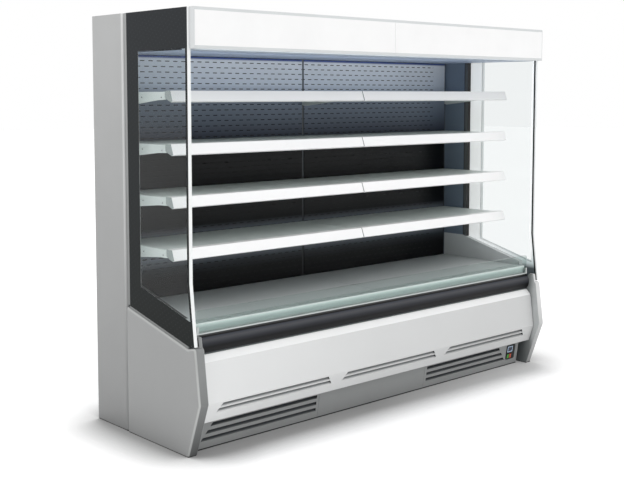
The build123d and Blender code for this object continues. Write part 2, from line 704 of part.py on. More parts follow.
with BuildPart() as front_panel:
    with BuildSketch(Plane.YZ) as fold:
        Polygon(
            *folded(
                ((-340, 452),) + FRONT_SECTION + ((-330, 141),),
                PANEL_SHEET,
            ),
            align=None,
        )
    extrude(amount=FRONT_X, both=True)
    with BuildSketch(vent_plane) as vents:
        for centre in VENT_CENTRES:
            for foot in VENT_FOOTS:
                low = VENT_HALF - VENT_SLANT * (foot - VENT_FOOTS[0])
                high = low - VENT_SLANT * VENT_HIGH
                Polygon(
                    (centre - low, foot), (centre + low, foot),
                    (centre + high, foot + VENT_HIGH), (centre - high, foot + VENT_HIGH),
                    align=None,
                )
    extrude(amount=-12, both=True, mode=Mode.SUBTRACT)
    # a blade rises inwards from the lower edge of each slot
    for foot in VENT_FOOTS:
        for centre in VENT_CENTRES:
            low = VENT_HALF - VENT_SLANT * (foot - VENT_FOOTS[0])
            with BuildSketch(Plane(origin=vent_plane.from_local_coords((centre, foot, 0)),
                                   x_dir=(0, 0, 1), z_dir=(1, 0, 0))) as blade:
                Polygon((-1.5, -0.4), (0, 0.6), (13, -15), (11, -16), (-1.5, -2), align=None)
            extrude(amount=low - 4, both=True)
save(front_panel.part, "front_panel")


# ---------------------------------------------------------------------- kick plate and controls

KICK_SHEET = 1.5
KICK_SLOTS = (34.0, 68.0, 103.0)   # distances of the slots' lower edges up the plate
KICK_SLOT_HIGH = 18.0
KICK_SLANT = 0.74
kick_plane = facet_plane(KICK_FOOT, KICK_HEAD)


def kick_fold():
    """Section of the kick plate, with a foot turned in and a head turned in."""
    head = (KICK_HEAD[0] + 16, KICK_HEAD[1] + 2)
    foot = (KICK_FOOT[0] + 14, KICK_FOOT[1])
    return folded((head, KICK_HEAD, KICK_FOOT, foot), KICK_SHEET)


def kick_plate(name, x0, x1, slot_ends, window=None):
    """One length of kick plate; slot_ends gives the slots' ends and which end slants."""
    with BuildPart() as plate:
        with BuildSketch(Plane.YZ.offset(x0)) as fold:
            Polygon(*kick_fold(), align=None)
        extrude(amount=x1 - x0)
        if slot_ends:
            plain, slanted, way = slot_ends
            with BuildSketch(kick_plane) as slots:
                for foot in KICK_SLOTS:
                    far = slanted - way * KICK_SLANT * (foot - KICK_SLOTS[0])
                    Polygon(
                        (plain, foot), (far, foot),
                        (far - way * KICK_SLANT * KICK_SLOT_HIGH, foot + KICK_SLOT_HIGH),
                        (plain, foot + KICK_SLOT_HIGH),
                        align=None,
                    )
            extrude(amount=-8, both=True, mode=Mode.SUBTRACT)
            # a blade rises inwards from the lower edge of each slot
            for foot in KICK_SLOTS:
                far = slanted - way * (KICK_SLANT * (foot - KICK_SLOTS[0]) + 4)
                low_x = min(plain, far)
                edge = kick_plane.from_local_coords((low_x, foot, 0))
                with BuildSketch(Plane(origin=edge, x_dir=(0, 0, 1), z_dir=(1, 0, 0))) as blade:
                    Polygon((-1.5, -0.2), (0.2, -0.2), (9, -13), (7.6, -14), (-1.5, -1.4), align=None)
                extrude(amount=abs(far - plain))
        if window:
            with BuildSketch(kick_plane) as cutout:
                with Locations(window[:2]):
                    RectangleRounded(window[2], window[3], 6)
            extrude(amount=-8, both=True, mode=Mode.SUBTRACT)
    save(plate.part, name)


CONTROL_CENTRE = (1127.0, 78.0)    # along the fridge, and up the kick plate
CONTROL_SIZE = (78.0, 90.0)

kick_plate("kick_grille_left", -KICK_X, KICK_SEAMS[0] - 0.75, (-472.0, -1194.0, -1))
kick_plate("kick_panel_centre", KICK_SEAMS[0] + 0.75, KICK_SEAMS[1] - 0.75, None)
kick_plate(
    "kick_grille_right", KICK_SEAMS[1] + 0.75, KICK_X, (364.0, 1075.0, 1),
    window=(*CONTROL_CENTRE, CONTROL_SIZE[0] - 6, CONTROL_SIZE[1] - 6),
)

DISPLAY_CENTRE = (1116.0, 98.0)
DISPLAY_SIZE = (48.0, 36.0)
ROCKER_SIZE = (16.0, 26.0)
ROCKER_CENTRES = (("power", 1102.0), ("light", 1124.0))
ROCKER_HEIGHT = 56.0
ROCKER_REST = 6.0          # a rocker rests with its lower half pressed in
BEZEL_PROUD = 5.0
HOUSING_DEEP = 20.0
PIN_RADIUS = 1.5
PIN_LONG = 19.6


def rocker_axis_plane(x, length):
    """Plane square to a rocker's pin, at the pin's left end."""
    end = kick_plane.from_local_coords((x - length / 2, ROCKER_HEIGHT, 0))
    return Plane(origin=end, x_dir=kick_plane.y_dir, z_dir=(1, 0, 0))


with BuildPart() as control_housing:
    with BuildSketch(kick_plane.offset(-HOUSING_DEEP)) as body:
        with Locations(CONTROL_CENTRE):
            Rectangle(CONTROL_SIZE[0] - 8, CONTROL_SIZE[1] - 8)
    extrude(amount=HOUSING_DEEP)
    with BuildSketch(kick_plane) as flange:
        with Locations(CONTROL_CENTRE):
            RectangleRounded(*CONTROL_SIZE, 8)
    extrude(amount=BEZEL_PROUD, taper=8)
    with BuildSketch(kick_plane.offset(BEZEL_PROUD)) as pockets:
        with Locations(DISPLAY_CENTRE):
            Rectangle(DISPLAY_SIZE[0] + 0.6, DISPLAY_SIZE[1] + 0.6)
    extrude(amount=-4, mode=Mode.SUBTRACT)
    with BuildSketch(kick_plane.offset(BEZEL_PROUD)) as wells:
        for _, x in ROCKER_CENTRES:
            with Locations((x, ROCKER_HEIGHT)):
                Rectangle(ROCKER_SIZE[0] + 1.2, ROCKER_SIZE[1] + 2.6)
    extrude(amount=-16, mode=Mode.SUBTRACT)
    for _, x in ROCKER_CENTRES:
        with BuildSketch(rocker_axis_plane(x, PIN_LONG + 0.4)) as pin_hole:
            Circle(PIN_RADIUS + 0.08)
        extrude(amount=PIN_LONG + 0.4, mode=Mode.SUBTRACT)
save(control_housing.part, "control_housing")

with BuildPart() as display:
    with BuildSketch(kick_plane.offset(BEZEL_PROUD - 4)) as screen:
        with Locations(DISPLAY_CENTRE):
            RectangleRounded(*DISPLAY_SIZE, 3)
    extrude(amount=5)
    with BuildSketch(kick_plane.offset(BEZEL_PROUD + 1)) as lens:
        with Locations(DISPLAY_CENTRE):
            Rectangle(26, 16)
    extrude(amount=-1.2, mode=Mode.SUBTRACT)
save(display.part, "thermostat_display")

ROCKER_DEEP = 7.0

for name, x in ROCKER_CENTRES:
    with BuildPart() as rocker:
        pivot = kick_plane.from_local_coords((x, ROCKER_HEIGHT, 0))
        tilted = Plane(origin=pivot, x_dir=(1, 0, 0), z_dir=kick_plane.z_dir).rotated((ROCKER_REST, 0, 0))
        section = Plane(origin=pivot - Vector(ROCKER_SIZE[0] / 2, 0, 0), x_dir=tilted.y_dir, z_dir=(1, 0, 0))
        with BuildSketch(section) as profile:
            half = ROCKER_SIZE[1] / 2
            Polygon(
                (-half, BEZEL_PROUD + 2.6), (0, BEZEL_PROUD + 1), (half, BEZEL_PROUD + 2.6),
                (half * 0.55, -ROCKER_DEEP), (-half * 0.55, -ROCKER_DEEP),
                align=None,
            )
        extrude(amount=ROCKER_SIZE[0])
        with BuildSketch(rocker_axis_plane(x, PIN_LONG)) as pin:
            RegularPolygon(PIN_RADIUS, 12)
        extrude(amount=PIN_LONG)
    save(rocker.part, f"rocker_{name}")


# ------------------------------------------------------------------ evaporator and its fans

EVAPORATOR_HALF = 1130.0

with BuildPart() as evaporator:
    with BuildSketch(Plane.YZ.offset(-EVAPORATOR_HALF)) as block:
        Polygon((60, TROUGH_FLOOR), (280, TROUGH_FLOOR), (280, 560), (60, 560), align=None)
    extrude(amount=2 * EVAPORATOR_HALF)
    # gaps between groups of fins
    with BuildSketch(Plane.XY.offset(TROUGH_FLOOR + 20)) as gaps:
        with Locations((0, 170)):
            with GridLocations(250, 1, 9, 1):
                Rectangle(130, 240)
    extrude(amount=110, mode=Mode.SUBTRACT)
    with BuildSketch(Plane.YZ.offset(-EVAPORATOR_HALF)) as tubes:
        with Locations((170, 490)):
            with GridLocations(70, 1, 3, 1):
                RegularPolygon(8, 6)
    extrude(amount=2 * EVAPORATOR_HALF)
    # the cover sheet turns up into the ledge that carries the rear of the deck
    with BuildSketch(Plane.YZ.offset(-EVAPORATOR_HALF)) as cover:
        Polygon(*folded(((56, 560), (282, 560), (292, LEDGE_Z), (312, LEDGE_Z)), -1.5), align=None)
    extrude(amount=2 * EVAPORATOR_HALF)
save(evaporator.part, "evaporator")

FAN_PLACES = (("left", -620.0), ("right", 620.0))
FAN_Y = -110.0
FAN_PLATE_Z = 548.0
FAN_RADIUS = 98.0
FAN_Z = FAN_PLATE_Z - 30
MOTOR_Z = FAN_Z - 48
MOTOR_RADIUS = 30.0

with BuildPart() as fan_plate:
    with BuildSketch(Plane.YZ) as fold:
        Polygon(
            *folded(((-286, 530), (-286, FAN_PLATE_Z), (40, FAN_PLATE_Z), (56, 426)), -1.5),
            align=None,
        )
    extrude(amount=EVAPORATOR_HALF, both=True)
    with BuildSketch(Plane.XY.offset(FAN_PLATE_Z - 8)) as rings:
        for _, x in FAN_PLACES:
            with Locations((x, FAN_Y)):
                Circle(FAN_RADIUS + 6)
    extrude(amount=16, mode=Mode.SUBTRACT)
    # each motor hangs below its fan on a strap
    for _, x in FAN_PLACES:
        with BuildSketch(Plane.XZ.offset(-FAN_Y - 9)) as strap:
            Polygon(
                *folded(
                    ((x - FAN_RADIUS - 8, FAN_PLATE_Z - 1), (x - FAN_RADIUS - 8, MOTOR_Z),
                     (x + FAN_RADIUS + 8, MOTOR_Z), (x + FAN_RADIUS + 8, FAN_PLATE_Z - 1)),
                    -3,
                ),
                align=None,
            )
        extrude(amount=18)
        with BuildSketch(Plane.XY.offset(MOTOR_Z - 1)) as motor:
            with Locations((x, FAN_Y)):
                Circle(MOTOR_RADIUS)
        extrude(amount=34)
save(fan_plate.part, "fan_plate")

BLADES = 5
HUB_RADIUS = 34.0
HUB_LONG = 26.0


def blade_ring(radius, thick):
    """Pitched blades around the Z axis, set in the hub."""
    with PolarLocations(0, BLADES):
        with Locations(Location((0, 0, 0), (24, 0, 0))):
            Box(radius - 6, 46, thick, align=(Align.MIN, Align.CENTER, Align.CENTER))


for name, x in FAN_PLACES:
    fan_plane = Plane(origin=(x, FAN_Y, FAN_Z))
    with BuildPart(fan_plane) as fan:
        blade_ring(FAN_RADIUS, 2.5)
        with BuildSketch(fan_plane) as hub:
            RegularPolygon(HUB_RADIUS, 16)
        extrude(amount=HUB_LONG / 2, both=True)
    save(fan.part, f"evaporator_fan_{name}")


# ------------------------------------------------------------------------- condensing unit

COMPRESSOR_AT = (-300.0, 60.0)
COMPRESSOR_SHELL = ((0, 0), (86, 0), (86, 150), (52, 190), (0, 190))   # radius, height
COIL_X = (-1040.0, -560.0)
COIL_Y = (-236.0, -176.0)
COIL_Z = (BASE_TOP + 8, BASE_TOP + 238)
CONDENSER_FAN_AT = (-800.0, -128.0, BASE_TOP + 123)
CONDENSER_FAN_RADIUS = 100.0

with BuildPart() as condensing_unit:
    with BuildSketch(Plane.XY.offset(BASE_TOP)) as foot_plate:
        with Locations((-600, 30)):
            Rectangle(960, 560)
    extrude(amount=8)
    with BuildSketch(Plane.XZ.offset(-COMPRESSOR_AT[1])) as shell:
        with Locations((COMPRESSOR_AT[0], BASE_TOP + 8)):
            Polygon(*COMPRESSOR_SHELL, align=None)
    revolve(axis=Axis((*COMPRESSOR_AT, 0), (0, 0, 1)))
    with BuildSketch(Plane.XY.offset(BASE_TOP + 7)) as receiver:
        with Locations((-520, 90)):
            RegularPolygon(56, 16)
    extrude(amount=180)
    # the condenser: end plates, tubes and groups of fins
    with BuildSketch(Plane.XY.offset(COIL_Z[0] - 1)) as fins:
        with Locations(((COIL_X[0] + COIL_X[1]) / 2, (COIL_Y[0] + COIL_Y[1]) / 2)):
            with GridLocations((COIL_X[1] - COIL_X[0] - 10) / 6, 1, 7, 1):
                Rectangle(8, COIL_Y[1] - COIL_Y[0])
    extrude(amount=COIL_Z[1] - COIL_Z[0])
    with BuildSketch(Plane.YZ.offset(COIL_X[0] - 3)) as tubes:
        with Locations(((COIL_Y[0] + COIL_Y[1]) / 2, (COIL_Z[0] + COIL_Z[1]) / 2)):
            with GridLocations(1, 60, 1, 3):
                RegularPolygon(6, 6)
    extrude(amount=COIL_X[1] - COIL_X[0] + 6)
    # the shroud behind the condenser, and the fan's motor on its stand
    fan_x, fan_y, fan_z = CONDENSER_FAN_AT
    with BuildSketch(Plane.XZ.offset(-COIL_Y[1] + 1)) as shroud:
        with Locations(((COIL_X[0] + COIL_X[1]) / 2, (COIL_Z[0] + COIL_Z[1]) / 2 - 1)):
            Rectangle(COIL_X[1] - COIL_X[0], COIL_Z[1] - COIL_Z[0] - 2)
        with Locations((fan_x, fan_z)):
            Circle(CONDENSER_FAN_RADIUS + 5, mode=Mode.SUBTRACT)
    extrude(amount=-3)
    with BuildSketch(Plane.XZ.offset(-fan_y - 17)) as motor:
        with Locations((fan_x, fan_z)):
            Circle(MOTOR_RADIUS)
    extrude(amount=-60)
    with BuildSketch(Plane.XY.offset(BASE_TOP + 7)) as stand:
        with Locations((fan_x, fan_y + 47)):
            Rectangle(30, 20)
    extrude(amount=fan_z - BASE_TOP - 20)
save(condensing_unit.part, "condensing_unit")

condenser_plane = Plane(origin=CONDENSER_FAN_AT, x_dir=(1, 0, 0), z_dir=(0, -1, 0))

with BuildPart(condenser_plane) as condenser_fan:
    blade_ring(CONDENSER_FAN_RADIUS, 2.5)
    with BuildSketch(condenser_plane) as condenser_hub:
        RegularPolygon(HUB_RADIUS, 16)
    extrude(amount=HUB_LONG / 2, both=True)
save(condenser_fan.part, "condenser_fan")
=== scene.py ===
"""Finishes, thin trim, stage and camera for the open multideck display fridge.

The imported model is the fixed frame: metres, +Z up, origin on the floor at the middle, the open
front faces -Y. Every finish is procedural and scaled from real sizes.
"""

import math

import bmesh
import bpy
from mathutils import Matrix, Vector


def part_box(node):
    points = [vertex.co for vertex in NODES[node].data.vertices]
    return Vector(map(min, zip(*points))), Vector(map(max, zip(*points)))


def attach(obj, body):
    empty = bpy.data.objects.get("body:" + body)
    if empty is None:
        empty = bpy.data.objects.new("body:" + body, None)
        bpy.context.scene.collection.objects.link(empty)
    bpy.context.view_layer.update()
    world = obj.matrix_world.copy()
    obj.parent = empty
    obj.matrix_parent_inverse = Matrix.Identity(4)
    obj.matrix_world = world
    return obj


bl_info = {
    "name": "Multideck display fridge dressing",
    "version": (1, 0, 0),
    "blender": (4, 5, 0),
    "location": "3D View > Sidebar > Fridge",
    "description": "Gives the packed display fridge its finishes, thin trim, stage and camera",
    "category": "Object",
}

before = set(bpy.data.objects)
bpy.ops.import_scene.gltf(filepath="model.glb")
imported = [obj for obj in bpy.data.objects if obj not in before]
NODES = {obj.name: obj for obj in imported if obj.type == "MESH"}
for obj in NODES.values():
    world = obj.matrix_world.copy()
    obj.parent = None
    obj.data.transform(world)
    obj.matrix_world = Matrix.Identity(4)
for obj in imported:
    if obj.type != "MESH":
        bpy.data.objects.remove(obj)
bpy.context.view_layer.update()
MM = 0.001
SIDES = (("left", -1), ("right", 1))
CABINET = "cabinet"

# sockets of the Mix node when it mixes colours
MIX_A, MIX_B, MIXED = 6, 7, 2
# nearly all of a noise texture's values lie between these
NOISE = {"From Min": 0.3, "From Max": 0.7}
# a wave texture of scale 1 repeats every 0.314 m
WAVE = 0.314


# ------------------------------------------------------------------------------ colours

def linear(colour):
    """Linear RGBA of an sRGB hex value such as 0xA0A0A0."""
    channels = []
    for shift in (16, 8, 0):
        c = ((colour >> shift) & 255) / 255
        channels.append(c / 12.92 if c <= 0.04045 else ((c + 0.055) / 1.055) ** 2.4)
    return (*channels, 1.0)


def scaled(colour, share, most=1.0):
    """A linear colour made lighter or darker, and held below a limit so that paint never clips."""
    return (*(min(channel * share, most) for channel in colour[:3]), 1.0)


def strengths(colour, shares, most=1.0):
    """Stops of one linear colour at several strengths; shares are (metres, share) in rising order."""
    return [(at, scaled(colour, share, most)) for at, share in shares]


def even(colour):
    """Stops for a coat that is the same all over, apart from its faint clouds."""
    return strengths(colour, ((0.0, 1.0), (1.0, 1.0)))


def paint_property(name, colour, about):
    """A colour that the user may change, kept linear."""
    return bpy.props.FloatVectorProperty(
        name=name, description=about, subtype="COLOR", size=4, min=0, max=1, default=linear(colour)
    )


def number_property(name, value, about, **limits):
    """A number that the user may change, with its unit or limits."""
    return bpy.props.FloatProperty(name=name, description=about, default=value, **limits)


def length_property(name, length, least, about):
    """A length that the user may change, in metres."""
    return number_property(name, length, about, min=least, unit="LENGTH")


class FridgePaints(bpy.types.PropertyGroup):
    """Colours of the painted and moulded pieces."""

    column: paint_property("Rear column", 0xB0B1B1, "Light grey powder coat of the rear columns")
    end_panel: paint_property("End panel", 0x979898, "Grey shell of the lower end panels")
    # the left end panel's flange, painted darker as painted shade
    shaded_flange: paint_property("End flange", 0x858787, "Grey of the end panels' front flange")
    canopy: paint_property("Canopy", 0xF8F8F8, "White powder coat of the canopy cover")
    canopy_trim: paint_property("Canopy trim", 0xD6D9DA, "Pale grey of the canopy's trims and caps")
    front_panel: paint_property("Front panel", 0xE0E1E1, "White powder coat of the folded front panel")
    kick: paint_property("Kick plate", 0xA1A3A3, "Mid grey powder coat of the kick plates")
    shelf: paint_property("Shelf", 0xDBE2E0, "Pale grey powder coat of trays and brackets")
    rail: paint_property("Price rail", 0xF4F5F5, "White extruded plastic of the price rails")
    glass_border: paint_property("Glass border", 0x26292C, "Dark enamel printed on the end glass")
    bumper: paint_property("Bumper", 0x27292F, "Dark grey plastic of the bumper")


class FridgeSizes(bpy.types.PropertyGroup):
    """Real sizes of the trim and of the patterns in the finishes."""

    slot_long: length_property("Slot pitch", 50 * MM, 0.01, "Distance between the air slots along a row")
    slot_row: length_property("Slot row pitch", 28 * MM, 0.01, "Distance between rows of air slots")
    screw_head: length_property("Screw head", 6 * MM, 0.003, "Diameter of the pan heads on the sheet metal")
    bracket_screw: length_property("Bracket screw", 7 * MM, 0.003, "Diameter of the heads on the brackets")
    seal: length_property("Glass seal", 10.5 * MM, 0.002, "Thickness of the seal below the end glass")


class FridgeStage(bpy.types.PropertyGroup):
    """Camera and light of the studio."""

    camera_at: bpy.props.FloatVectorProperty(
        name="Camera", description="Where the camera stands", subtype="TRANSLATION",
        unit="LENGTH", default=(-3.9918, -4.1735, 1.6444),
    )
    camera_turn: number_property(
        "Turn", math.radians(42.132), "Heading of the camera from +Y towards +X", unit="ROTATION")
    camera_tilt: number_property(
        "Tilt", math.radians(4.691), "How far the camera looks down", unit="ROTATION")
    lens: number_property("Lens", 60.56, "Focal length on a 36 mm sensor", unit="CAMERA")
    shift: number_property("Shift", -0.098, "Vertical shift that keeps the uprights nearly upright")
    shadow_reach: length_property(
        "Shadow reach", 0.32, 0.05, "How far from the fridge the floor is darkened")
    sky: number_property("Sky", 0.80, "Strength of the even light from all round", min=0)
    key: number_property("Key", 0.55, "Strength of the soft lamps at the front and the left", min=0)
    wash: number_property("Canopy wash", 0.63, "Power of the fridge's own lamp, in watts", min=0)


# ------------------------------------------------------------------------- node materials

def feed(tree, node, links):
    """Links other nodes to the inputs of a node.

    Links are {input: (other node, output)}, or {input: other node} for its first output.
    """
    for key, link in links.items():
        source, output = link if isinstance(link, tuple) else (link, 0)
        tree.links.new(source.outputs[output], node.inputs[key])


def add(tree, kind, values=None, links=None):
    """Adds a shader node with its settings, the values of its open inputs, and its links."""
    node = tree.nodes.new("ShaderNode" + kind)
    for key, value in (values or {}).items():
        if isinstance(key, str) and hasattr(node, key):
            setattr(node, key, value)
        else:
            node.inputs[key].default_value = value
    feed(tree, node, links or {})
    return node


def new_finish(name, roughness, metallic=0.0, ior=1.45, specular=0.5, colour=None):
    """A material with its shader set, and the coordinates of the row frame.

    A metal keeps the shader's own IOR. The colour is given only where it is the same all over.
    """
    finish = bpy.data.materials.new(name)
    finish.use_nodes = True
    tree = finish.node_tree
    shader = tree.nodes["Principled BSDF"]
    shader.inputs["Roughness"].default_value = roughness
    shader.inputs["Metallic"].default_value = metallic
    shader.inputs["Specular IOR Level"].default_value = specular
    if metallic == 0:
        shader.inputs["IOR"].default_value = ior
    if colour is not None:
        shader.inputs["Base Color"].default_value = linear(colour)
    return finish, tree, shader, add(tree, "TexCoord")


def split(tree, place, output):
    """The parts of a place or normal, and the size of its X, which is the same on both sides."""
    parts = add(tree, "SeparateXYZ", None, {"Vector": (place, output)})
    out = add(tree, "Math", {"operation": "ABSOLUTE"}, {0: (parts, "X")})
    return parts, out


def graded(tree, place, axis, stops):
    """Colour that changes along one axis of the row frame.

    Stops are (metres, colour) in rising order, each colour an sRGB hex value or linear RGBA.
    """
    low, high = stops[0][0], stops[-1][0]
    parts = add(tree, "SeparateXYZ", None, {"Vector": (place, "Object")})
    share = add(tree, "MapRange", {"From Min": low, "From Max": high}, {"Value": (parts, axis)})
    ramp = add(tree, "ValToRGB", None, {"Fac": share})
    points = ramp.color_ramp.elements
    for i, (at, colour) in enumerate(stops):
        position = (at - low) / (high - low)
        point = points[i] if i < 2 else points.new(position)
        point.position = position
        point.color = linear(colour) if isinstance(colour, int) else tuple(colour)
    return ramp


def clouded(tree, place, shader, base, patch, depth):
    """Gives the shader a base colour with slow, faint patches, as on sprayed or rolled stock.

    The patches have the given size in metres, and darken the colour by up to the given depth.
    """
    cloud = add(tree, "TexNoise", {"Scale": 1 / patch, "Detail": 4.0, "Roughness": 0.6},
                {"Vector": (place, "Object")})
    shade = add(tree, "MapRange", {**NOISE, "To Min": 1 - depth, "To Max": 1 + depth / 2},
                {"Value": (cloud, "Fac")})
    tinted = add(tree, "VectorMath", {"operation": "SCALE"}, {0: base, "Scale": shade})
    feed(tree, shader, {"Base Color": (tinted, "Vector")})


def peel(tree, place, shader, grain, height):
    """Fine bump of the given grain size, with a gloss that varies a little from grain to grain."""
    skin = add(tree, "TexNoise", {"Scale": 1 / grain, "Detail": 2.0}, {"Vector": (place, "Object")})
    bump = add(tree, "Bump", {"Strength": 0.35, "Distance": height}, {"Height": (skin, "Fac")})
    rough = shader.inputs["Roughness"].default_value
    spread = add(tree, "MapRange", {**NOISE, "To Min": rough - 0.04, "To Max": rough + 0.05},
                 {"Value": (skin, "Fac")})
    feed(tree, shader, {"Normal": (bump, "Normal"), "Roughness": spread})


def sprayed(tree, place, shader, base, patch=0.22, depth=0.025, height=0.12 * MM):
    """Powder coat in a base colour, with orange peel.

    The real peel is about 1 mm, too fine to show, so it is drawn at 5 mm.
    """
    clouded(tree, place, shader, base, patch, depth)
    peel(tree, place, shader, grain=5 * MM, height=height)


def behind_fold(tree, place, low, high, near, far):
    """How far a point lies behind a sloping sheet, from 0 at near to 1 at far.

    The sheet is given by the height and depth (z, y) of its lower and its upper edge.
    """
    parts = add(tree, "SeparateXYZ", None, {"Vector": (place, "Object")})
    sheet = add(tree, "MapRange",
                {"From Min": low[0], "From Max": high[0], "To Min": low[1], "To Max": high[1]},
                {"Value": (parts, "Z")})
    depth = add(tree, "Math", {"operation": "SUBTRACT"}, {0: (parts, "Y"), 1: sheet})
    return add(tree, "MapRange", {"From Min": near, "From Max": far}, {"Value": depth})


def rounded_edge(tree, slant, rise, fall):
    """Picks out a rounded edge, where the face is neither flat front nor flat side.

    Slant is the size of the normal's X; the edge fades in over the rise and out over the fall.
    """
    across = add(tree, "MapRange", {"From Min": rise[0], "From Max": rise[1]}, {"Value": slant})
    beyond = add(tree, "MapRange", {"From Min": fall[0], "From Max": fall[1]}, {"Value": slant})
    return add(tree, "Math", {"operation": "MULTIPLY"}, {0: across, 1: beyond})


def powder_coated_steel(name, stops, axis="Z", roughness=0.42):
    """Electrostatic powder coat, baked on steel: an even, slightly soft gloss with orange peel."""
    finish, tree, shader, place = new_finish(name, roughness)
    sprayed(tree, place, shader, (graded(tree, place, axis, stops), "Color"))
    return finish


def end_panel_shell(name, paints, flange_light_and_shade, highlight_stops):
    """Grey moulded shell, with a painted highlight on the radius along its front and top.

    The flange is the part that faces forward; its given tone is painted shade on the left panel and painted
    light on the right one. The radius beside it carries the painted highlight.
    """
    finish, tree, shader, place = new_finish(name, 0.40)
    _, slant = split(tree, place, "Normal")
    _, out = split(tree, place, "Object")
    # both are painted darker towards the floor, as painted shade, and the flange more so
    side = graded(tree, place, "Z", strengths(paints.end_panel, ((0.0, 0.99), (0.62, 1.0))))
    flange = graded(tree, place, "Z", strengths(flange_light_and_shade, ((0.0, 0.47), (0.40, 1.0))))
    front = add(tree, "MapRange", {"From Min": 0.60, "From Max": 0.45}, {"Value": slant})
    both_faces = add(tree, "Mix", {"data_type": "RGBA"},
                     {"Factor": front, MIX_A: (side, "Color"), MIX_B: (flange, "Color")})
    rim = rounded_edge(tree, slant, (0.42, 0.66), (1.0, 0.9))
    rim_highlight = graded(tree, place, "Z", highlight_stops)
    pale = add(tree, "Mix", {"data_type": "RGBA"},
               {"Factor": rim, MIX_A: (both_faces, MIXED), MIX_B: (rim_highlight, "Color")})
    # the inner face, beside the bumper, is painted darker the further back it lies, as painted shade
    inside = add(tree, "MapRange", {"From Min": 1.2435, "From Max": 1.2425}, {"Value": out})
    inner = graded(tree, place, "Y", [(-0.40, 0xC6C9C9), (-0.37, 0x8E9292), (-0.32, 0x6E7374)])
    lined = add(tree, "Mix", {"data_type": "RGBA"},
                {"Factor": inside, MIX_A: (pale, MIXED), MIX_B: (inner, "Color")})
    sprayed(tree, place, shader, (lined, MIXED), patch=0.2, depth=0.02, height=0.1 * MM)
    return finish


def column_steel(paints):
    """Powder-coated column, with a painted highlight on the radius at its front, and painted shade on the
    set-back lip beside it.

    The coat is painted a little darker towards the floor, as painted shade.
    """
    finish, tree, shader, place = new_finish("Rear column, powder-coated steel", 0.42)
    facing, slant = split(tree, place, "Normal")
    parts, out = split(tree, place, "Object")
    # painted shade: the coat is darker towards the floor
    base = graded(tree, place, "Z", strengths(paints.column, ((0.0, 0.60), (1.2, 0.81), (1.95, 1.0))))
    # painted highlight on the radius at the front
    rim = rounded_edge(tree, slant, (0.66, 0.80), (1.0, 0.95))
    glint = graded(tree, place, "Z", [(0.3, 0x969797), (0.6, 0xA2A3A3), (1.0, 0xBEBFBF), (2.03, 0xDADBDB)])
    pale = add(tree, "Mix", {"data_type": "RGBA"},
               {"Factor": rim, MIX_A: (base, "Color"), MIX_B: (glint, "Color")})
    # inside the cabinet the column wears the blue-grey coat of the duct
    inside = add(tree, "MapRange", {"From Min": 1.2415, "From Max": 1.2408}, {"Value": out})
    duct = add(tree, "Mix", {"data_type": "RGBA", MIX_B: linear(0x8594A6)},
               {"Factor": inside, MIX_A: (pale, MIXED)})
    # the face that looks straight ahead is painted black, as painted shade in the joint
    ahead_face = add(tree, "MapRange", {"From Min": -0.85, "From Max": -0.95}, {"Value": (facing, "Y")})
    joint_shade = add(tree, "Mix", {"data_type": "RGBA", MIX_B: linear(0x0E0F10)},
                 {"Factor": ahead_face, MIX_A: (duct, MIXED)})
    # the side of the lip is painted darker, as painted shade of the joint, and near black below the glass,
    # where it lies deep in the joint with the end panel
    ahead = add(tree, "MapRange", {"From Min": 0.161, "From Max": 0.1595}, {"Value": (parts, "Y")})
    flank = add(tree, "Math", {"operation": "GREATER_THAN", 1: 0.9}, {0: slant})
    lip_side = add(tree, "Math", {"operation": "MULTIPLY"}, {0: ahead, 1: flank})
    lip_shade = graded(tree, place, "Z", [(0.61, 0x1E1F20), (0.63, 0x6C6F70)])
    lip = add(tree, "Mix", {"data_type": "RGBA"},
              {"Factor": lip_side, MIX_A: (joint_shade, MIXED), MIX_B: (lip_shade, "Color")})
    # a seam of shade runs up between the lip and the column
    joint = add(tree, "MapRange", {"From Min": 0.154, "From Max": 0.1555}, {"Value": (parts, "Y")})
    shut = add(tree, "Math", {"operation": "MULTIPLY"}, {0: joint, 1: ahead})
    seam = add(tree, "Mix", {"data_type": "RGBA", MIX_B: linear(0x4A4D4F)},
               {"Factor": shut, MIX_A: (lip, MIXED)})
    sprayed(tree, place, shader, (seam, MIXED))
    return finish


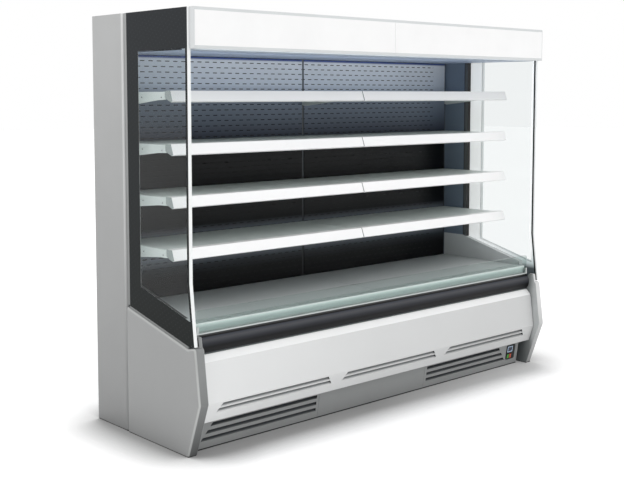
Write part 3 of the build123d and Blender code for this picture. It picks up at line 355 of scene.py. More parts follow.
def printed_glass_border(paints):
    """Ceramic enamel screen-printed on the glass: dark outside with a dot screen, pale inside.

    The print's dots are about 2 mm apart; they are drawn 22 mm apart, so that they just show.
    """
    finish, tree, shader, place = new_finish("Glass border, screen-printed enamel", 0.5, ior=1.52,
                                             specular=0.12)
    facing = add(tree, "SeparateXYZ", None, {"Vector": (place, "Normal")})
    parts, out = split(tree, place, "Object")
    # the print is painted darker towards its foot, as painted shade
    dark = (*(c * share for c, share in zip(paints.glass_border, (0.20, 0.27, 0.22))), 1.0)
    base = graded(tree, place, "Z", [(0.5, dark), (2.03, paints.glass_border)])
    face = add(tree, "CombineXYZ", None, {"X": (parts, "Y"), "Y": (parts, "Z")})
    turned = add(tree, "Mapping", {"Rotation": (0, 0, math.radians(32)), "Scale": (1 / (22 * MM),) * 3},
                 {"Vector": (face, "Vector")})
    dots = add(tree, "TexVoronoi", {"Randomness": 0.0, "Scale": 1.0, "voronoi_dimensions": "2D"},
               {"Vector": (turned, "Vector")})
    spot = add(tree, "MapRange", {"From Min": 0.16, "From Max": 0.10, "To Max": 0.05},
               {"Value": (dots, "Distance")})
    shown = add(tree, "Mix", {"data_type": "RGBA", MIX_B: linear(0x8A8C9A)},
                {"Factor": spot, MIX_A: (base, "Color")})
    # a second, pale coat covers the print on the inside, and its back as seen through the pane
    inside = add(tree, "Math", {"operation": "LESS_THAN", 1: 1.2725}, {0: out})
    outward = add(tree, "Math", {"operation": "MULTIPLY"}, {0: (facing, "X"), 1: (parts, "X")})
    back = add(tree, "Math", {"operation": "LESS_THAN", 1: -0.5}, {0: outward})
    inner = add(tree, "Math", {"operation": "MAXIMUM"}, {0: inside, 1: back})
    # it leaves a dark line along the front edge, which leans forward below the bend of the glass
    lean = add(tree, "MapRange", {"From Min": 0.517, "From Max": 0.80, "To Min": 0.033, "To Max": 0.0},
               {"Value": (parts, "Z")})
    upright = add(tree, "Math", {"operation": "ADD"}, {0: (parts, "Y"), 1: lean})
    behind = add(tree, "Math", {"operation": "GREATER_THAN", 1: -0.351}, {0: upright})
    coated = add(tree, "Math", {"operation": "MULTIPLY"}, {0: inner, 1: behind})
    # the pale coat is duller at its foot, as painted shade; it also glows faintly, as painted light
    pale = graded(tree, place, "Z", [(0.585, 0x43494C), (0.615, 0xB4BEBF), (0.70, 0xF6F8F8)])
    coat = add(tree, "Mix", {"data_type": "RGBA"},
               {"Factor": coated, MIX_A: (shown, MIXED), MIX_B: (pale, "Color")})
    glow = add(tree, "Math", {"operation": "MULTIPLY", 1: 0.48}, {0: coated})
    feed(tree, shader, {"Base Color": (coat, MIXED), "Emission Color": (pale, "Color"),
                        "Emission Strength": glow})
    return finish


def toughened_glass(name, tint):
    """Float glass, toughened and with ground edges: clear on its faces, grey-green in depth.

    Glass has an IOR of 1.52. It is lower here, because the real panes hardly mirror the even light
    round them. They let lamp light through, so that the inside is lit as the real one is.
    """
    finish, tree, shader, _ = new_finish(name, 0.0, ior=1.16, colour=tint)
    shader.inputs["Transmission Weight"].default_value = 1.0
    path = add(tree, "LightPath")
    solid = add(tree, "MapRange", {"To Min": 1.0, "To Max": 0.08}, {"Value": (path, "Is Shadow Ray")})
    feed(tree, shader, {"Alpha": solid})
    return finish


def extruded_plastic(name, colour):
    """Rigid PVC, extruded and wiped smooth: a clean gloss, with faint draw lines 3 mm apart."""
    finish, tree, shader, place = new_finish(name, 0.30, ior=1.53)
    stretched = add(tree, "Mapping", {"Scale": (0.6, 1 / (3 * MM), 1 / (3 * MM))},
                    {"Vector": (place, "Object")})
    lines = add(tree, "TexNoise", {"Scale": 1.0, "Detail": 2.0}, {"Vector": (stretched, "Vector")})
    bump = add(tree, "Bump", {"Strength": 0.15, "Distance": 0.05 * MM}, {"Height": (lines, "Fac")})
    white = linear(colour)
    shade = add(tree, "Mix", {"data_type": "RGBA", MIX_A: scaled(white, 0.97), MIX_B: white},
                {"Factor": (lines, "Fac")})
    feed(tree, shader, {"Base Color": (shade, MIXED), "Normal": (bump, "Normal")})
    return finish


def price_rail_plastic(name, colour):
    """White PVC price rail, with ribbed grey end caps.

    The caps' ribs are 2 mm apart and are drawn 7 mm apart, so that they show.
    """
    finish, tree, shader, place = new_finish(name, 0.30, ior=1.53)
    _, slant = split(tree, place, "Normal")
    cap = add(tree, "Math", {"operation": "GREATER_THAN", 1: 0.7}, {0: slant})
    ribs = add(tree, "TexWave", {"bands_direction": "Y", "Scale": WAVE / (7 * MM), "Distortion": 0.0},
               {"Vector": (place, "Object")})
    grey = add(tree, "Mix", {"data_type": "RGBA", MIX_A: linear(0x858D8D), MIX_B: linear(0xB4BCBB)},
               {"Factor": (ribs, "Fac")})
    # the three lower rails are painted a little whiter than the top one, which stands in the canopy's
    # shade: painted shade
    face = graded(tree, place, "Z", strengths(colour, ((1.45, 1.10), (1.60, 1.0)), most=0.985))
    whole = add(tree, "Mix", {"data_type": "RGBA"},
                {"Factor": cap, MIX_A: (face, "Color"), MIX_B: (grey, MIXED)})
    clouded(tree, place, shader, (whole, MIXED), patch=0.3, depth=0.012)
    skin = add(tree, "Math", {"operation": "MULTIPLY"}, {0: (ribs, "Fac"), 1: cap})
    bump = add(tree, "Bump", {"Strength": 0.4, "Distance": 0.4 * MM}, {"Height": skin})
    feed(tree, shader, {"Normal": (bump, "Normal")})
    return finish


def slotted_back_steel(sizes):
    """Coated sheet with punched air slots, its colour painted light and shade: pale under the ceiling, near
    black behind the shelves.

    The slots are staggered from row to row. At its top the sheet carries a painted reflection of the pale
    ceiling, and lower down a paler band that is a painted reflection of the underside of the lowest shelf
    above the deck.
    """
    finish, tree, shader, place = new_finish("Back panel, punched and coated sheet", 0.32, specular=0.22)
    parts, out = split(tree, place, "Object")
    # painted light, shade and reflection, from the deck up to the ceiling
    base = graded(tree, place, "Z", [
        (0.60, 0x08090B), (0.70, 0x0C0D10), (0.745, 0x32363C), (0.80, 0x858C96), (0.90, 0x858C96),
        (0.96, 0x0F1114), (1.33, 0x0F1114), (1.39, 0x22252C), (1.44, 0x4E5666), (1.62, 0x8D9AAC),
        (1.70, 0xE4ECF6), (1.829, 0xF4F9FF), (1.831, 0x5468A4), (1.844, 0x5468A4),
    ])
    # the drawn rows are raised to fall in line with the slots that are cut in the sheet
    height = add(tree, "Math", {"operation": "ADD", 1: 19 * MM}, {0: (parts, "Z")})
    face = add(tree, "CombineXYZ", None, {"X": (parts, "X"), "Y": height})
    # the mortar of the bricks is the sheet, and leaves slots of 25.4 by 3.4 mm
    slots = add(tree, "TexBrick", {
        "Scale": 1.0, "Mortar Size": 12.3 * MM, "Mortar Smooth": 0.06, "Brick Width": sizes.slot_long,
        "Row Height": sizes.slot_row, "offset": 0.5, "offset_frequency": 2, "squash_frequency": 2,
        "squash": 1.0,
    }, {"Vector": (face, "Vector")})
    field = add(tree, "Math", {"operation": "LESS_THAN", 1: 1.115}, {0: out})
    hole = add(tree, "Math", {"operation": "SUBTRACT", 0: 1.0}, {1: (slots, "Fac")})
    shown = add(tree, "Math", {"operation": "MULTIPLY"}, {0: hole, 1: field})
    punched = add(tree, "Mix", {"data_type": "RGBA", MIX_B: linear(0x08090A)},
                  {"Factor": shown, MIX_A: (base, "Color")})
    clouded(tree, place, shader, (punched, MIXED), patch=0.3, depth=0.04)
    bump = add(tree, "Bump", {"Strength": 0.6, "Distance": 1.5 * MM, "invert": True},
               {"Height": shown})
    feed(tree, shader, {"Normal": (bump, "Normal")})
    return finish


def shaded_liner_steel():
    """Powder-coated end liner, painted darker towards its foot as painted shade; the left one's sloping top
    is painted dark, as painted shade.
    """
    finish, tree, shader, place = new_finish("End liner, powder-coated steel", 0.42)
    base = graded(tree, place, "Z", [(0.42, 0xA9ADAE), (0.74, 0xE6EAEB)])
    facing = add(tree, "SeparateXYZ", None, {"Vector": (place, "Normal")})
    parts = add(tree, "SeparateXYZ", None, {"Vector": (place, "Object")})
    up = add(tree, "Math", {"operation": "GREATER_THAN", 1: 0.7}, {0: (facing, "Z")})
    left = add(tree, "Math", {"operation": "LESS_THAN", 1: 0.0}, {0: (parts, "X")})
    left_top = add(tree, "Math", {"operation": "MULTIPLY"}, {0: up, 1: left})
    painted_top_shade = add(tree, "Mix", {"data_type": "RGBA", MIX_B: linear(0x3B3C3D)},
                {"Factor": left_top, MIX_A: (base, "Color")})
    sprayed(tree, place, shader, (painted_top_shade, MIXED))
    return finish


def folded_panel_steel(paints):
    """Powder-coated front panel, with painted light and shade: each fold is painted as bright as the light
    meets it.

    The narrow fold under the bumper is painted brightest, as a painted highlight, and the panel is painted
    a little darker towards its right end.
    """
    finish, tree, shader, place = new_finish("Front panel, powder-coated steel", 0.36)
    white = paints.front_panel
    parts = add(tree, "SeparateXYZ", None, {"Vector": (place, "Object")})
    # the sheet is folded 430 mm and 242 mm above the floor
    top = add(tree, "MapRange", {"From Min": 0.4300, "From Max": 0.4315}, {"Value": (parts, "Z")})
    foot = add(tree, "MapRange", {"From Min": 0.2430, "From Max": 0.2415}, {"Value": (parts, "Z")})
    # painted light and shade: each fold's own tone, darker towards the right end
    middle = graded(tree, place, "X",
                    strengths(white, ((-1.24, 1.05), (0.0, 0.89), (1.24, 0.81)), most=0.93))
    lowest = graded(tree, place, "X", strengths(white, ((-1.24, 1.11), (1.24, 0.84)), most=0.93))
    upper = add(tree, "Mix", {"data_type": "RGBA", MIX_B: scaled(white, 1.27, most=0.97)},
                {"Factor": top, MIX_A: (middle, "Color")})
    lower = add(tree, "Mix", {"data_type": "RGBA"},
                {"Factor": foot, MIX_A: (upper, MIXED), MIX_B: (lowest, "Color")})
    # the blades of the louvres are in shade behind the lowest fold
    deep = behind_fold(tree, place, (0.149, -0.370), (0.242, -0.403), 1 * MM, 13 * MM)
    within = add(tree, "Math", {"operation": "MULTIPLY"}, {0: deep, 1: foot})
    shaded = add(tree, "Mix", {"data_type": "RGBA", MIX_B: linear(0x989C9E)},
                 {"Factor": within, MIX_A: (lower, MIXED)})
    sprayed(tree, place, shader, (shaded, MIXED), patch=0.35, depth=0.015)
    return finish


def kick_steel(paints):
    """Powder-coated kick plate; painted shade darkens the blades towards the back of the slots.

    The plate is painted darker near the floor, as painted shade.
    """
    finish, tree, shader, place = new_finish("Kick plate, powder-coated steel", 0.5)
    # painted shade near the floor
    base = graded(tree, place, "Z", strengths(paints.kick, ((0.0, 0.85), (0.13, 1.0))))
    # painted shade on the blades behind the slots
    deep = behind_fold(tree, place, (0.006, -0.303), (0.132, -0.323), 0.3 * MM, 8 * MM)
    fall = add(tree, "Math", {"operation": "POWER", 1: 0.35}, {0: deep})
    blade = add(tree, "Mix", {"data_type": "RGBA", MIX_B: linear(0x4A4D50)},
                {"Factor": fall, MIX_A: (base, "Color")})
    sprayed(tree, place, shader, (blade, MIXED), patch=0.15, depth=0.03)
    return finish


def display_window(centre):
    """Polycarbonate display: a pale blue frame round a dark window of 37 by 25 mm."""
    finish, tree, shader, place = new_finish("Display, moulded polycarbonate", 0.16, ior=1.58)
    parts = add(tree, "SeparateXYZ", None, {"Vector": (place, "Object")})
    within = []
    for axis, middle, half in (("X", centre.x, 18.5 * MM), ("Z", centre.z, 12.5 * MM)):
        aside = add(tree, "Math", {"operation": "SUBTRACT", 1: middle}, {0: (parts, axis)})
        aside = add(tree, "Math", {"operation": "ABSOLUTE"}, {0: aside})
        within.append(add(tree, "Math", {"operation": "LESS_THAN", 1: half}, {0: aside}))
    window = add(tree, "Math", {"operation": "MULTIPLY"}, {0: within[0], 1: within[1]})
    colour = add(tree, "Mix", {"data_type": "RGBA", MIX_A: linear(0xB4CBE4), MIX_B: linear(0x0C1A3C)},
                 {"Factor": window})
    feed(tree, shader, {"Base Color": (colour, MIXED)})
    return finish


def bumper_plastic(paints):
    """Soft PVC, extruded over an aluminium core: dark, with a low sheen and lines 4 mm apart."""
    finish, tree, shader, place = new_finish("Bumper, extruded soft PVC", 0.55, ior=1.53, specular=0.20)
    low, top = scaled(paints.bumper, 0.12), scaled(paints.bumper, 2.0)
    # from its grey foot over painted shade in its lower hollow, up to a painted highlight on the crown,
    # with a black line of painted shade along its top
    base = graded(tree, place, "Z", [
        (0.464, 0x46494B), (0.469, 0x46494B), (0.472, low), (0.497, low), (0.512, paints.bumper),
        (0.530, 0x494A4E), (0.540, top), (0.544, 0x08090A),
    ])
    clouded(tree, place, shader, (base, "Color"), patch=0.12, depth=0.05)
    ribs = add(tree, "TexWave", {"bands_direction": "Z", "Scale": WAVE / (4 * MM)},
               {"Vector": (place, "Object")})
    bump = add(tree, "Bump", {"Strength": 0.12, "Distance": 0.2 * MM}, {"Height": (ribs, "Fac")})
    feed(tree, shader, {"Normal": (bump, "Normal")})
    return finish


def moulded_plastic(name, colour, roughness):
    """Plastic, injection moulded in a spark-eroded tool: an even fine grain, drawn at 3 mm to show."""
    finish, tree, shader, place = new_finish(name, roughness, ior=1.53, colour=colour)
    peel(tree, place, shader, grain=3 * MM, height=0.1 * MM)
    return finish


def riser_rail_plastic(name):
    """Extruded PVC: a pale lip that grips the glass, on a foot painted matt black, as painted shade of the
    gap above the bumper.
    """
    finish, tree, shader, place = new_finish(name, 0.4, ior=1.53)
    foot_shade_and_lip = graded(tree, place, "Z", [(0.548, 0x101113), (0.5555, 0x101113),
                                      (0.5565, 0xC6CCCB), (0.563, 0xC6CCCB)])
    clouded(tree, place, shader, (foot_shade_and_lip, "Color"), patch=0.2, depth=0.03)
    peel(tree, place, shader, grain=3 * MM, height=0.05 * MM)
    return finish


def galvanised_sheet(name, colour):
    """Hot-dip galvanised steel: 14 mm zinc spangles, each of a slightly different grey and gloss."""
    finish, tree, shader, place = new_finish(name, 0.45, metallic=0.9)
    spangle = add(tree, "TexVoronoi", {"Scale": 1 / (14 * MM)}, {"Vector": (place, "Object")})
    grey = add(tree, "SeparateColor", None, {"Color": (spangle, "Color")})
    zinc = linear(colour)
    shade = add(tree, "Mix", {"data_type": "RGBA", MIX_A: scaled(zinc, 0.82), MIX_B: zinc},
                {"Factor": (grey, "Red")})
    rough = add(tree, "MapRange", {"To Min": 0.38, "To Max": 0.55}, {"Value": (grey, "Green")})
    feed(tree, shader, {"Base Color": (shade, MIXED), "Roughness": rough})
    return finish


def rear_wall_sheet(name, colour):
    """Galvanised outside; the face towards the air duct, ahead of y = 0.404, is painted near black, as
    painted shade that keeps the duct dark behind the slots.
    """
    finish = galvanised_sheet(name, colour)
    tree = finish.node_tree
    shader = tree.nodes["Principled BSDF"]
    zinc = shader.inputs["Base Color"].links[0].from_node
    place = add(tree, "TexCoord")
    parts = add(tree, "SeparateXYZ", None, {"Vector": (place, "Object")})
    # painted shade on the face towards the duct
    inside = add(tree, "MapRange", {"From Min": 0.405, "From Max": 0.404}, {"Value": (parts, "Y")})
    coat = add(tree, "Mix", {"data_type": "RGBA", MIX_B: linear(0x121315)},
               {"Factor": inside, MIX_A: (zinc, MIXED)})
    metal = add(tree, "MapRange", {"To Min": 0.9, "To Max": 0.0}, {"Value": inside})
    feed(tree, shader, {"Base Color": (coat, MIXED), "Metallic": metal})
    return finish


def finned_aluminium(name):
    """Aluminium fins pressed on copper tubes; the 3 mm fin pitch is drawn at 9 mm, so that it shows."""
    finish, tree, shader, place = new_finish(name, 0.35, metallic=1.0)
    fins = add(tree, "TexWave", {"bands_direction": "X", "Scale": WAVE / (9 * MM)},
               {"Vector": (place, "Object")})
    shade = add(tree, "Mix", {"data_type": "RGBA", MIX_A: linear(0x6F7274), MIX_B: linear(0xD2D4D5)},
                {"Factor": (fins, "Fac")})
    bump = add(tree, "Bump", {"Strength": 0.8, "Distance": 2 * MM}, {"Height": (fins, "Fac")})
    feed(tree, shader, {"Base Color": (shade, MIXED), "Normal": (bump, "Normal")})
    return finish


def opal_diffuser(name):
    """Opal acrylic over a row of diodes: milky, with a low glow of its own."""
    finish, tree, shader, place = new_finish(name, 0.45, ior=1.49, colour=0xF2F4F6)
    shader.inputs["Subsurface Weight"].default_value = 0.2
    shader.inputs["Emission Color"].default_value = linear(0xEAF2FF)
    shader.inputs["Emission Strength"].default_value = 2.2
    peel(tree, place, shader, grain=6 * MM, height=0.05 * MM)
    return finish


def seal_rubber(name, colour):
    """EPDM rubber, extruded: even and matt."""
    finish, tree, shader, place = new_finish(name, 0.7, ior=1.52, colour=colour)
    peel(tree, place, shader, grain=2 * MM, height=0.1 * MM)
    return finish


# --------------------------------------------------------------------------- small pieces

def dress(finish, *nodes):
    """Puts a finish on CAD nodes, in place of the plain ones they came with."""
    for name in nodes:
        mesh = NODES[name].data
        mesh.materials.clear()
        mesh.materials.append(finish)


def both(name):
    """The left and the right node of one name."""
    return f"{name}_left", f"{name}_right"


def finished_mesh(name, form):
    """Turns an edited form into a mesh, and frees the form."""
    mesh = bpy.data.meshes.new(name)
    form.to_mesh(mesh)
    form.free()
    return mesh


def place_in_scene(name, data):
    """Links an object with its data into the scene."""
    thing = bpy.data.objects.new(name, data)
    bpy.context.scene.collection.objects.link(thing)
    return thing


def new_piece(name, body, finish, mesh):
    """Adds a mesh as a piece of the fridge that rides on a body."""
    piece = place_in_scene(name, mesh)
    mesh.materials.append(finish)
    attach(piece, body)
    return piece


def strip(name, finish, outline, low, high, upright=False):
    """A straight strip on the cabinet between two places along an axis.

    It runs along X, with its outline in (y, z), or upright along Z, with its outline in (x, y).
    """
    form = bmesh.new()
    near, far = ([form.verts.new((*point, at) if upright else (at, *point)) for point in outline]
                 for at in (low, high))
    for i in range(len(outline)):
        j = (i + 1) % len(outline)
        form.faces.new((near[i], near[j], far[j], far[i]))
    form.faces.new(near[::-1])
    form.faces.new(far)
    bmesh.ops.recalc_face_normals(form, faces=form.faces)
    return new_piece(name, CABINET, finish, finished_mesh(name, form))


def slab(y0, y1, z0, z1):
    """Rectangular outline of a strip that runs along X."""
    return (y0, z0), (y1, z0), (y1, z1), (y0, z1)


def printed_film(name, side, finish):
    """The enamel border on the outer face of an end glass, 0.4 mm thick, round the clear window."""
    face = side * 1.28305
    edge = ((0.1345, 2.0296), (0.1345, 0.629), (-0.349, 0.5135), (-0.3955, 0.5185), (-0.3628, 0.800),
            (-0.3628, 2.0296))
    window = ((0.033, 1.8475), (0.033, 0.733), (-0.369, 0.626), (-0.349, 0.800), (-0.349, 1.8475))
    form = bmesh.new()
    rims = []
    for outline in (edge, window):
        points = [form.verts.new((face, y, z)) for y, z in outline]
        rims += [form.edges.new((a, b)) for a, b in zip(points, points[1:] + points[:1])]
    bmesh.ops.triangle_fill(form, use_beauty=True, use_dissolve=False, edges=rims)
    grown = bmesh.ops.extrude_face_region(form, geom=form.faces[:])
    for item in grown["geom"]:
        if isinstance(item, bmesh.types.BMVert):
            item.co.x += side * 0.4 * MM
    bmesh.ops.recalc_face_normals(form, faces=form.faces)
    return new_piece(name, CABINET, finish, finished_mesh(name, form))


def pan_heads(name, body, finish, places, outward, head):
    """Pan-head screws with a dimple in the middle, set on one face at each of the places."""
    form = bmesh.new()
    turn = Vector((0, 0, 1)).rotation_difference(Vector(outward)).to_matrix().to_4x4()
    ring = 16
    # radius and height of the head's profile, and the depth of its dimple, as shares of the head
    profile = ((0.50, 0.0), (0.50, 0.10), (0.42, 0.22), (0.26, 0.29), (0.10, 0.30))
    dimple = 0.12
    for place in places:
        rows = []
        for share, rise in profile:
            rows.append([
                form.verts.new(Vector(place) + turn @ Vector((
                    share * head * math.cos(2 * math.pi * k / ring),
                    share * head * math.sin(2 * math.pi * k / ring),
                    rise * head)))
                for k in range(ring)
            ])
        for low, high in zip(rows, rows[1:]):
            for k in range(ring):
                form.faces.new((low[k], low[(k + 1) % ring], high[(k + 1) % ring], high[k]))
        pit = form.verts.new(Vector(place) + turn @ Vector((0, 0, dimple * head)))
        for k in range(ring):
            form.faces.new((rows[-1][k], rows[-1][(k + 1) % ring], pit))
    mesh = finished_mesh(name, form)
    mesh.shade_smooth()
    return new_piece(name, body, finish, mesh)


# --------------------------------------------------------------------------------- studio

def studio_paper(stage):
    """Matt white paper, with a painted shadow that darkens it close to the fridge."""
    paper, tree, shader, place = new_finish("Studio floor, matt white paper", 0.95, specular=0.0)
    near = add(tree, "AmbientOcclusion", {"Distance": stage.shadow_reach, "samples": 24})
    shade = add(tree, "MapRange", {"From Min": 0.40, "From Max": 0.97, "To Min": 0.08, "To Max": 0.99},
                {"Value": (near, "AO")})
    # the painted shadow under the front is lighter towards the right end
    along = add(tree, "SeparateXYZ", None, {"Vector": (place, "Object")})
    least = add(tree, "MapRange", {"From Min": -0.1, "From Max": 1.3, "To Min": 0.30, "To Max": 0.56},
                {"Value": (along, "X")})
    shade = add(tree, "Math", {"operation": "MAXIMUM"}, {0: shade, 1: least})
    grey = add(tree, "CombineColor", None, {part: shade for part in ("Red", "Green", "Blue")})
    # the camera and the reflections see the unshaded paper as white, and the fridge's shadow stays;
    # a ray through a pane counts as glossy too, and the open floor behind it is lifted less
    path = add(tree, "LightPath")
    seen = add(tree, "Math", {"operation": "MAXIMUM"},
               {0: (path, "Is Camera Ray"), 1: (path, "Is Glossy Ray")})
    seen = add(tree, "Math", {"operation": "MULTIPLY_ADD", 1: -0.9, "use_clamp": True},
               {0: (path, "Is Transmission Ray"), 2: seen})
    lift = add(tree, "Math", {"operation": "MULTIPLY", 1: 0.22}, {0: seen})
    lift = add(tree, "Math", {"operation": "MULTIPLY"}, {0: lift, 1: shade})
    shader.inputs["Emission Color"].default_value = (1, 1, 1, 1)
    feed(tree, shader, {"Base Color": (grey, "Color"), "Emission Strength": lift})
    return paper


def studio_floor(stage):
    """A wide sheet of paper, half a millimetre below the fridge."""
    form = bmesh.new()
    bmesh.ops.create_grid(form, x_segments=2, y_segments=2, size=40)
    mesh = finished_mesh("studio_floor", form)
    mesh.materials.append(studio_paper(stage))
    floor = place_in_scene("studio_floor", mesh)
    floor.location.z = -0.5 * MM


def studio_sky(scene, stage):
    """Even light from all round, which the camera, metal and glass see as plain white."""
    world = bpy.data.worlds.new("Studio")
    scene.world = world
    world.use_nodes = True
    tree = world.node_tree
    tree.nodes.clear()
    path = add(tree, "LightPath")
    seen = add(tree, "Math", {"operation": "MAXIMUM"},
               {0: (path, "Is Camera Ray"), 1: (path, "Is Glossy Ray")})
    seen = add(tree, "Math", {"operation": "MAXIMUM"},
               {0: seen, 1: (path, "Is Transmission Ray")})
    strength = add(tree, "MapRange", {"To Min": stage.sky, "To Max": 1.0}, {"Value": seen})
    back = add(tree, "Background", {"Color": (1, 1, 1, 1)}, {"Strength": strength})
    add(tree, "OutputWorld", None, {"Surface": (back, "Background")})


def studio_lamps(stage):
    """Two wide, soft lamps, at the front and at the left, and the fridge's own lamp."""
    spread = math.radians(50)
    # heading from the front towards the right, and height above the floor, in degrees
    for name, heading, height in (("front_lamp", 10, 46), ("left_lamp", -116, 42)):
        lamp = bpy.data.lights.new(name, "SUN")
        lamp.energy = stage.key
        lamp.angle = spread
        thing = place_in_scene(name, lamp)
        turn, rise = math.radians(heading), math.radians(height)
        flat = math.cos(rise)
        towards = Vector((math.sin(turn) * flat, -math.cos(turn) * flat, math.sin(rise)))
        thing.rotation_mode = "QUATERNION"
        thing.rotation_quaternion = towards.to_track_quat("Z", "Y")
        thing.location = towards * 6
    # the fridge's own lamp, behind the canopy, washes the top of the back panels
    wash = bpy.data.lights.new("canopy_wash", "AREA")
    wash.shape = "RECTANGLE"
    wash.size, wash.size_y = 2.0, 0.04
    wash.energy = stage.wash
    thing = place_in_scene("canopy_wash", wash)
    thing.location = (-0.12, -0.14, 1.815)
    thing.rotation_euler = (math.radians(80), 0, 0)
    thing.visible_camera = thing.visible_glossy = thing.visible_transmission = False


def studio_camera(scene, stage):
    """The camera at the photograph's viewing angle."""
    camera = bpy.data.cameras.new("camera")
    camera.lens = stage.lens
    camera.sensor_width = 36
    camera.shift_y = stage.shift
    camera.clip_end = 200
    eye = place_in_scene("camera", camera)
    eye.location = stage.camera_at
    eye.rotation_euler = (math.pi / 2 - stage.camera_tilt, 0, -stage.camera_turn)
    scene.camera = eye


# ---------------------------------------------------------------------------- operators

class FRIDGE_OT_end_panels(bpy.types.Operator):
    """Finishes the lower end panels and the rear columns"""

    bl_idname = "fridge.end_panels"
    bl_label = "End panels and columns"

    def execute(self, context):
        paints = context.scene.fridge_paints
        # painted light and shade: the left panel's flange is painted darker and its rim highlight grey, the
        # right one's flange paler and its rim highlight white
        dress(end_panel_shell("Left end panel, moulded shell", paints, paints.shaded_flange,
                              ((0.02, 0xAAACAB), (0.25, 0xBABCBB), (0.42, 0xB0B2B1))),
              "lower_end_panel_left")
        dress(end_panel_shell("Right end panel, moulded shell", paints, linear(0xD6D7D7),
                              ((0.02, 0xF8F8F8), (0.42, 0xF8F8F8))),
              "lower_end_panel_right")
        dress(column_steel(paints), *both("rear_column"))
        return {"FINISHED"}


class FRIDGE_OT_end_glass(bpy.types.Operator):
    """Finishes the end glasses, their printed borders and edge channels, and adds the seals"""

    bl_idname = "fridge.end_glass"
    bl_label = "End glass"

    def execute(self, context):
        scene = context.scene
        dress(toughened_glass("End glass, toughened float glass", 0xF0F3F3), *both("side_glass"))
        border = printed_glass_border(scene.fridge_paints)
        dress(border, *both("glass_mask"))
        dress(extruded_plastic("Edge channel, extruded PVC", 0xF4F6F6), *both("edge_profile"))
        rubber = seal_rubber("Glass seal, extruded EPDM", 0x7E8080)
        black = seal_rubber("Corner shade block, black EPDM", 0x0E0F10)
        # the joint cover is painted darker towards its foot, as painted shade
        trim = powder_coated_steel("Joint cover, powder-coated steel", [(0.62, 0x787A7A), (2.03, 0x9C9E9E)])
        # the seal lies on the sloping top of the end panel, under the glass
        thick = scene.fridge_sizes.seal
        rear, front = (0.1345, 0.6278), (-0.349, 0.5128)
        slope = (rear, front, (front[0], front[1] - thick), (rear[0], rear[1] - thick))
        for name, side in SIDES:
            printed_film(f"printed_border_{name}", side, border)
            # a thin cover with bevelled sides over the joint between the glass and the rear column
            foot, top = side * 1.2834, side * 1.2845
            strip(f"joint_cover_{name}", trim,
                  ((foot, 0.1305), (foot, 0.1485), (top, 0.1475), (top, 0.1315)),
                  0.632, 2.0296, upright=True)
            low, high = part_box(f"side_glass_{name}")
            inner, outer = sorted((abs(low.x), abs(high.x)))
            strip(f"glass_seal_{name}", rubber, slope,
                  side * inner, side * (outer - 1 * MM))
            # a black block in the gap between the foot of the glass and the end panel's tongue paints the
            # shade in that gap
            strip(f"corner_shade_{name}", black,
                  ((-0.398, 0.5185), (-0.355, 0.5185), (-0.355, 0.556), (-0.388, 0.556)),
                  side * 1.2596, side * 1.2698)
        return {"FINISHED"}


class FRIDGE_OT_canopy(bpy.types.Operator):
    """Finishes the canopy, its lamp and the air outlet"""

    bl_idname = "fridge.canopy"
    bl_label = "Canopy"

    def execute(self, context):
        paints = context.scene.fridge_paints
        dress(powder_coated_steel("Canopy cover, powder-coated steel", even(paints.canopy), roughness=0.36),
              "canopy_panels")
        dress(powder_coated_steel("Canopy trim, powder-coated steel", even(paints.canopy_trim)),
              "canopy_frame")
        dress(opal_diffuser("Lamp, opal acrylic"), "canopy_lamp")
        dress(moulded_plastic("Air outlet, moulded ABS", 0xC2CCD6, 0.42), "air_outlet")
        return {"FINISHED"}


class FRIDGE_OT_lining(bpy.types.Operator):
    """Finishes the ceiling, the back panels, the uprights and the end liners"""

    bl_idname = "fridge.lining"
    bl_label = "Lining"

    def execute(self, context):
        # painted shade: the ceiling is darker towards the front
        dress(powder_coated_steel("Ceiling, powder-coated steel", [(-0.262, 0xA6B4CC), (0.32, 0xC2CEE2)],
                                  axis="Y"), "ceiling_panel")
        dress(shaded_liner_steel(), "end_liners")
        dress(slotted_back_steel(context.scene.fridge_sizes), *both("back_panel"))
        # painted light and shade: the uprights are dark low down and paler near the canopy lamp
        dress(powder_coated_steel("Shelf upright, powder-coated steel",
                                  [(0.6, 0x1B1D20), (1.84, 0x6D7278)]), "shelf_uprights")
        return {"FINISHED"}


class FRIDGE_OT_shelves(bpy.types.Operator):
    """Finishes the shelves and price rails, and adds the screws of the brackets"""

    bl_idname = "fridge.shelves"
    bl_label = "Shelves"

    def execute(self, context):
        paints, sizes = context.scene.fridge_paints, context.scene.fridge_sizes
        tray = powder_coated_steel("Shelf, powder-coated steel", even(paints.shelf))
        rail = price_rail_plastic("Price rail, extruded PVC", paints.rail)
        steel = galvanised_sheet("Screws, zinc-plated steel", 0x8C9092)
        for number in (1, 2, 3, 4):
            for name, side in SIDES:
                shelf = f"shelf_{number}_{name}"
                dress(tray, shelf)
                dress(rail, f"price_rail_{number}_{name}")
                low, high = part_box(shelf)
                outer = side * max(abs(low.x), abs(high.x))
                places = [(outer, y, high.z - 26 * MM) for y in (-0.085, 0.080, 0.250)]
                pan_heads(f"bracket_screws_{number}_{name}", f"shelf {number} {name}", steel,
                          places, (side, 0, 0), sizes.bracket_screw)
        return {"FINISHED"}


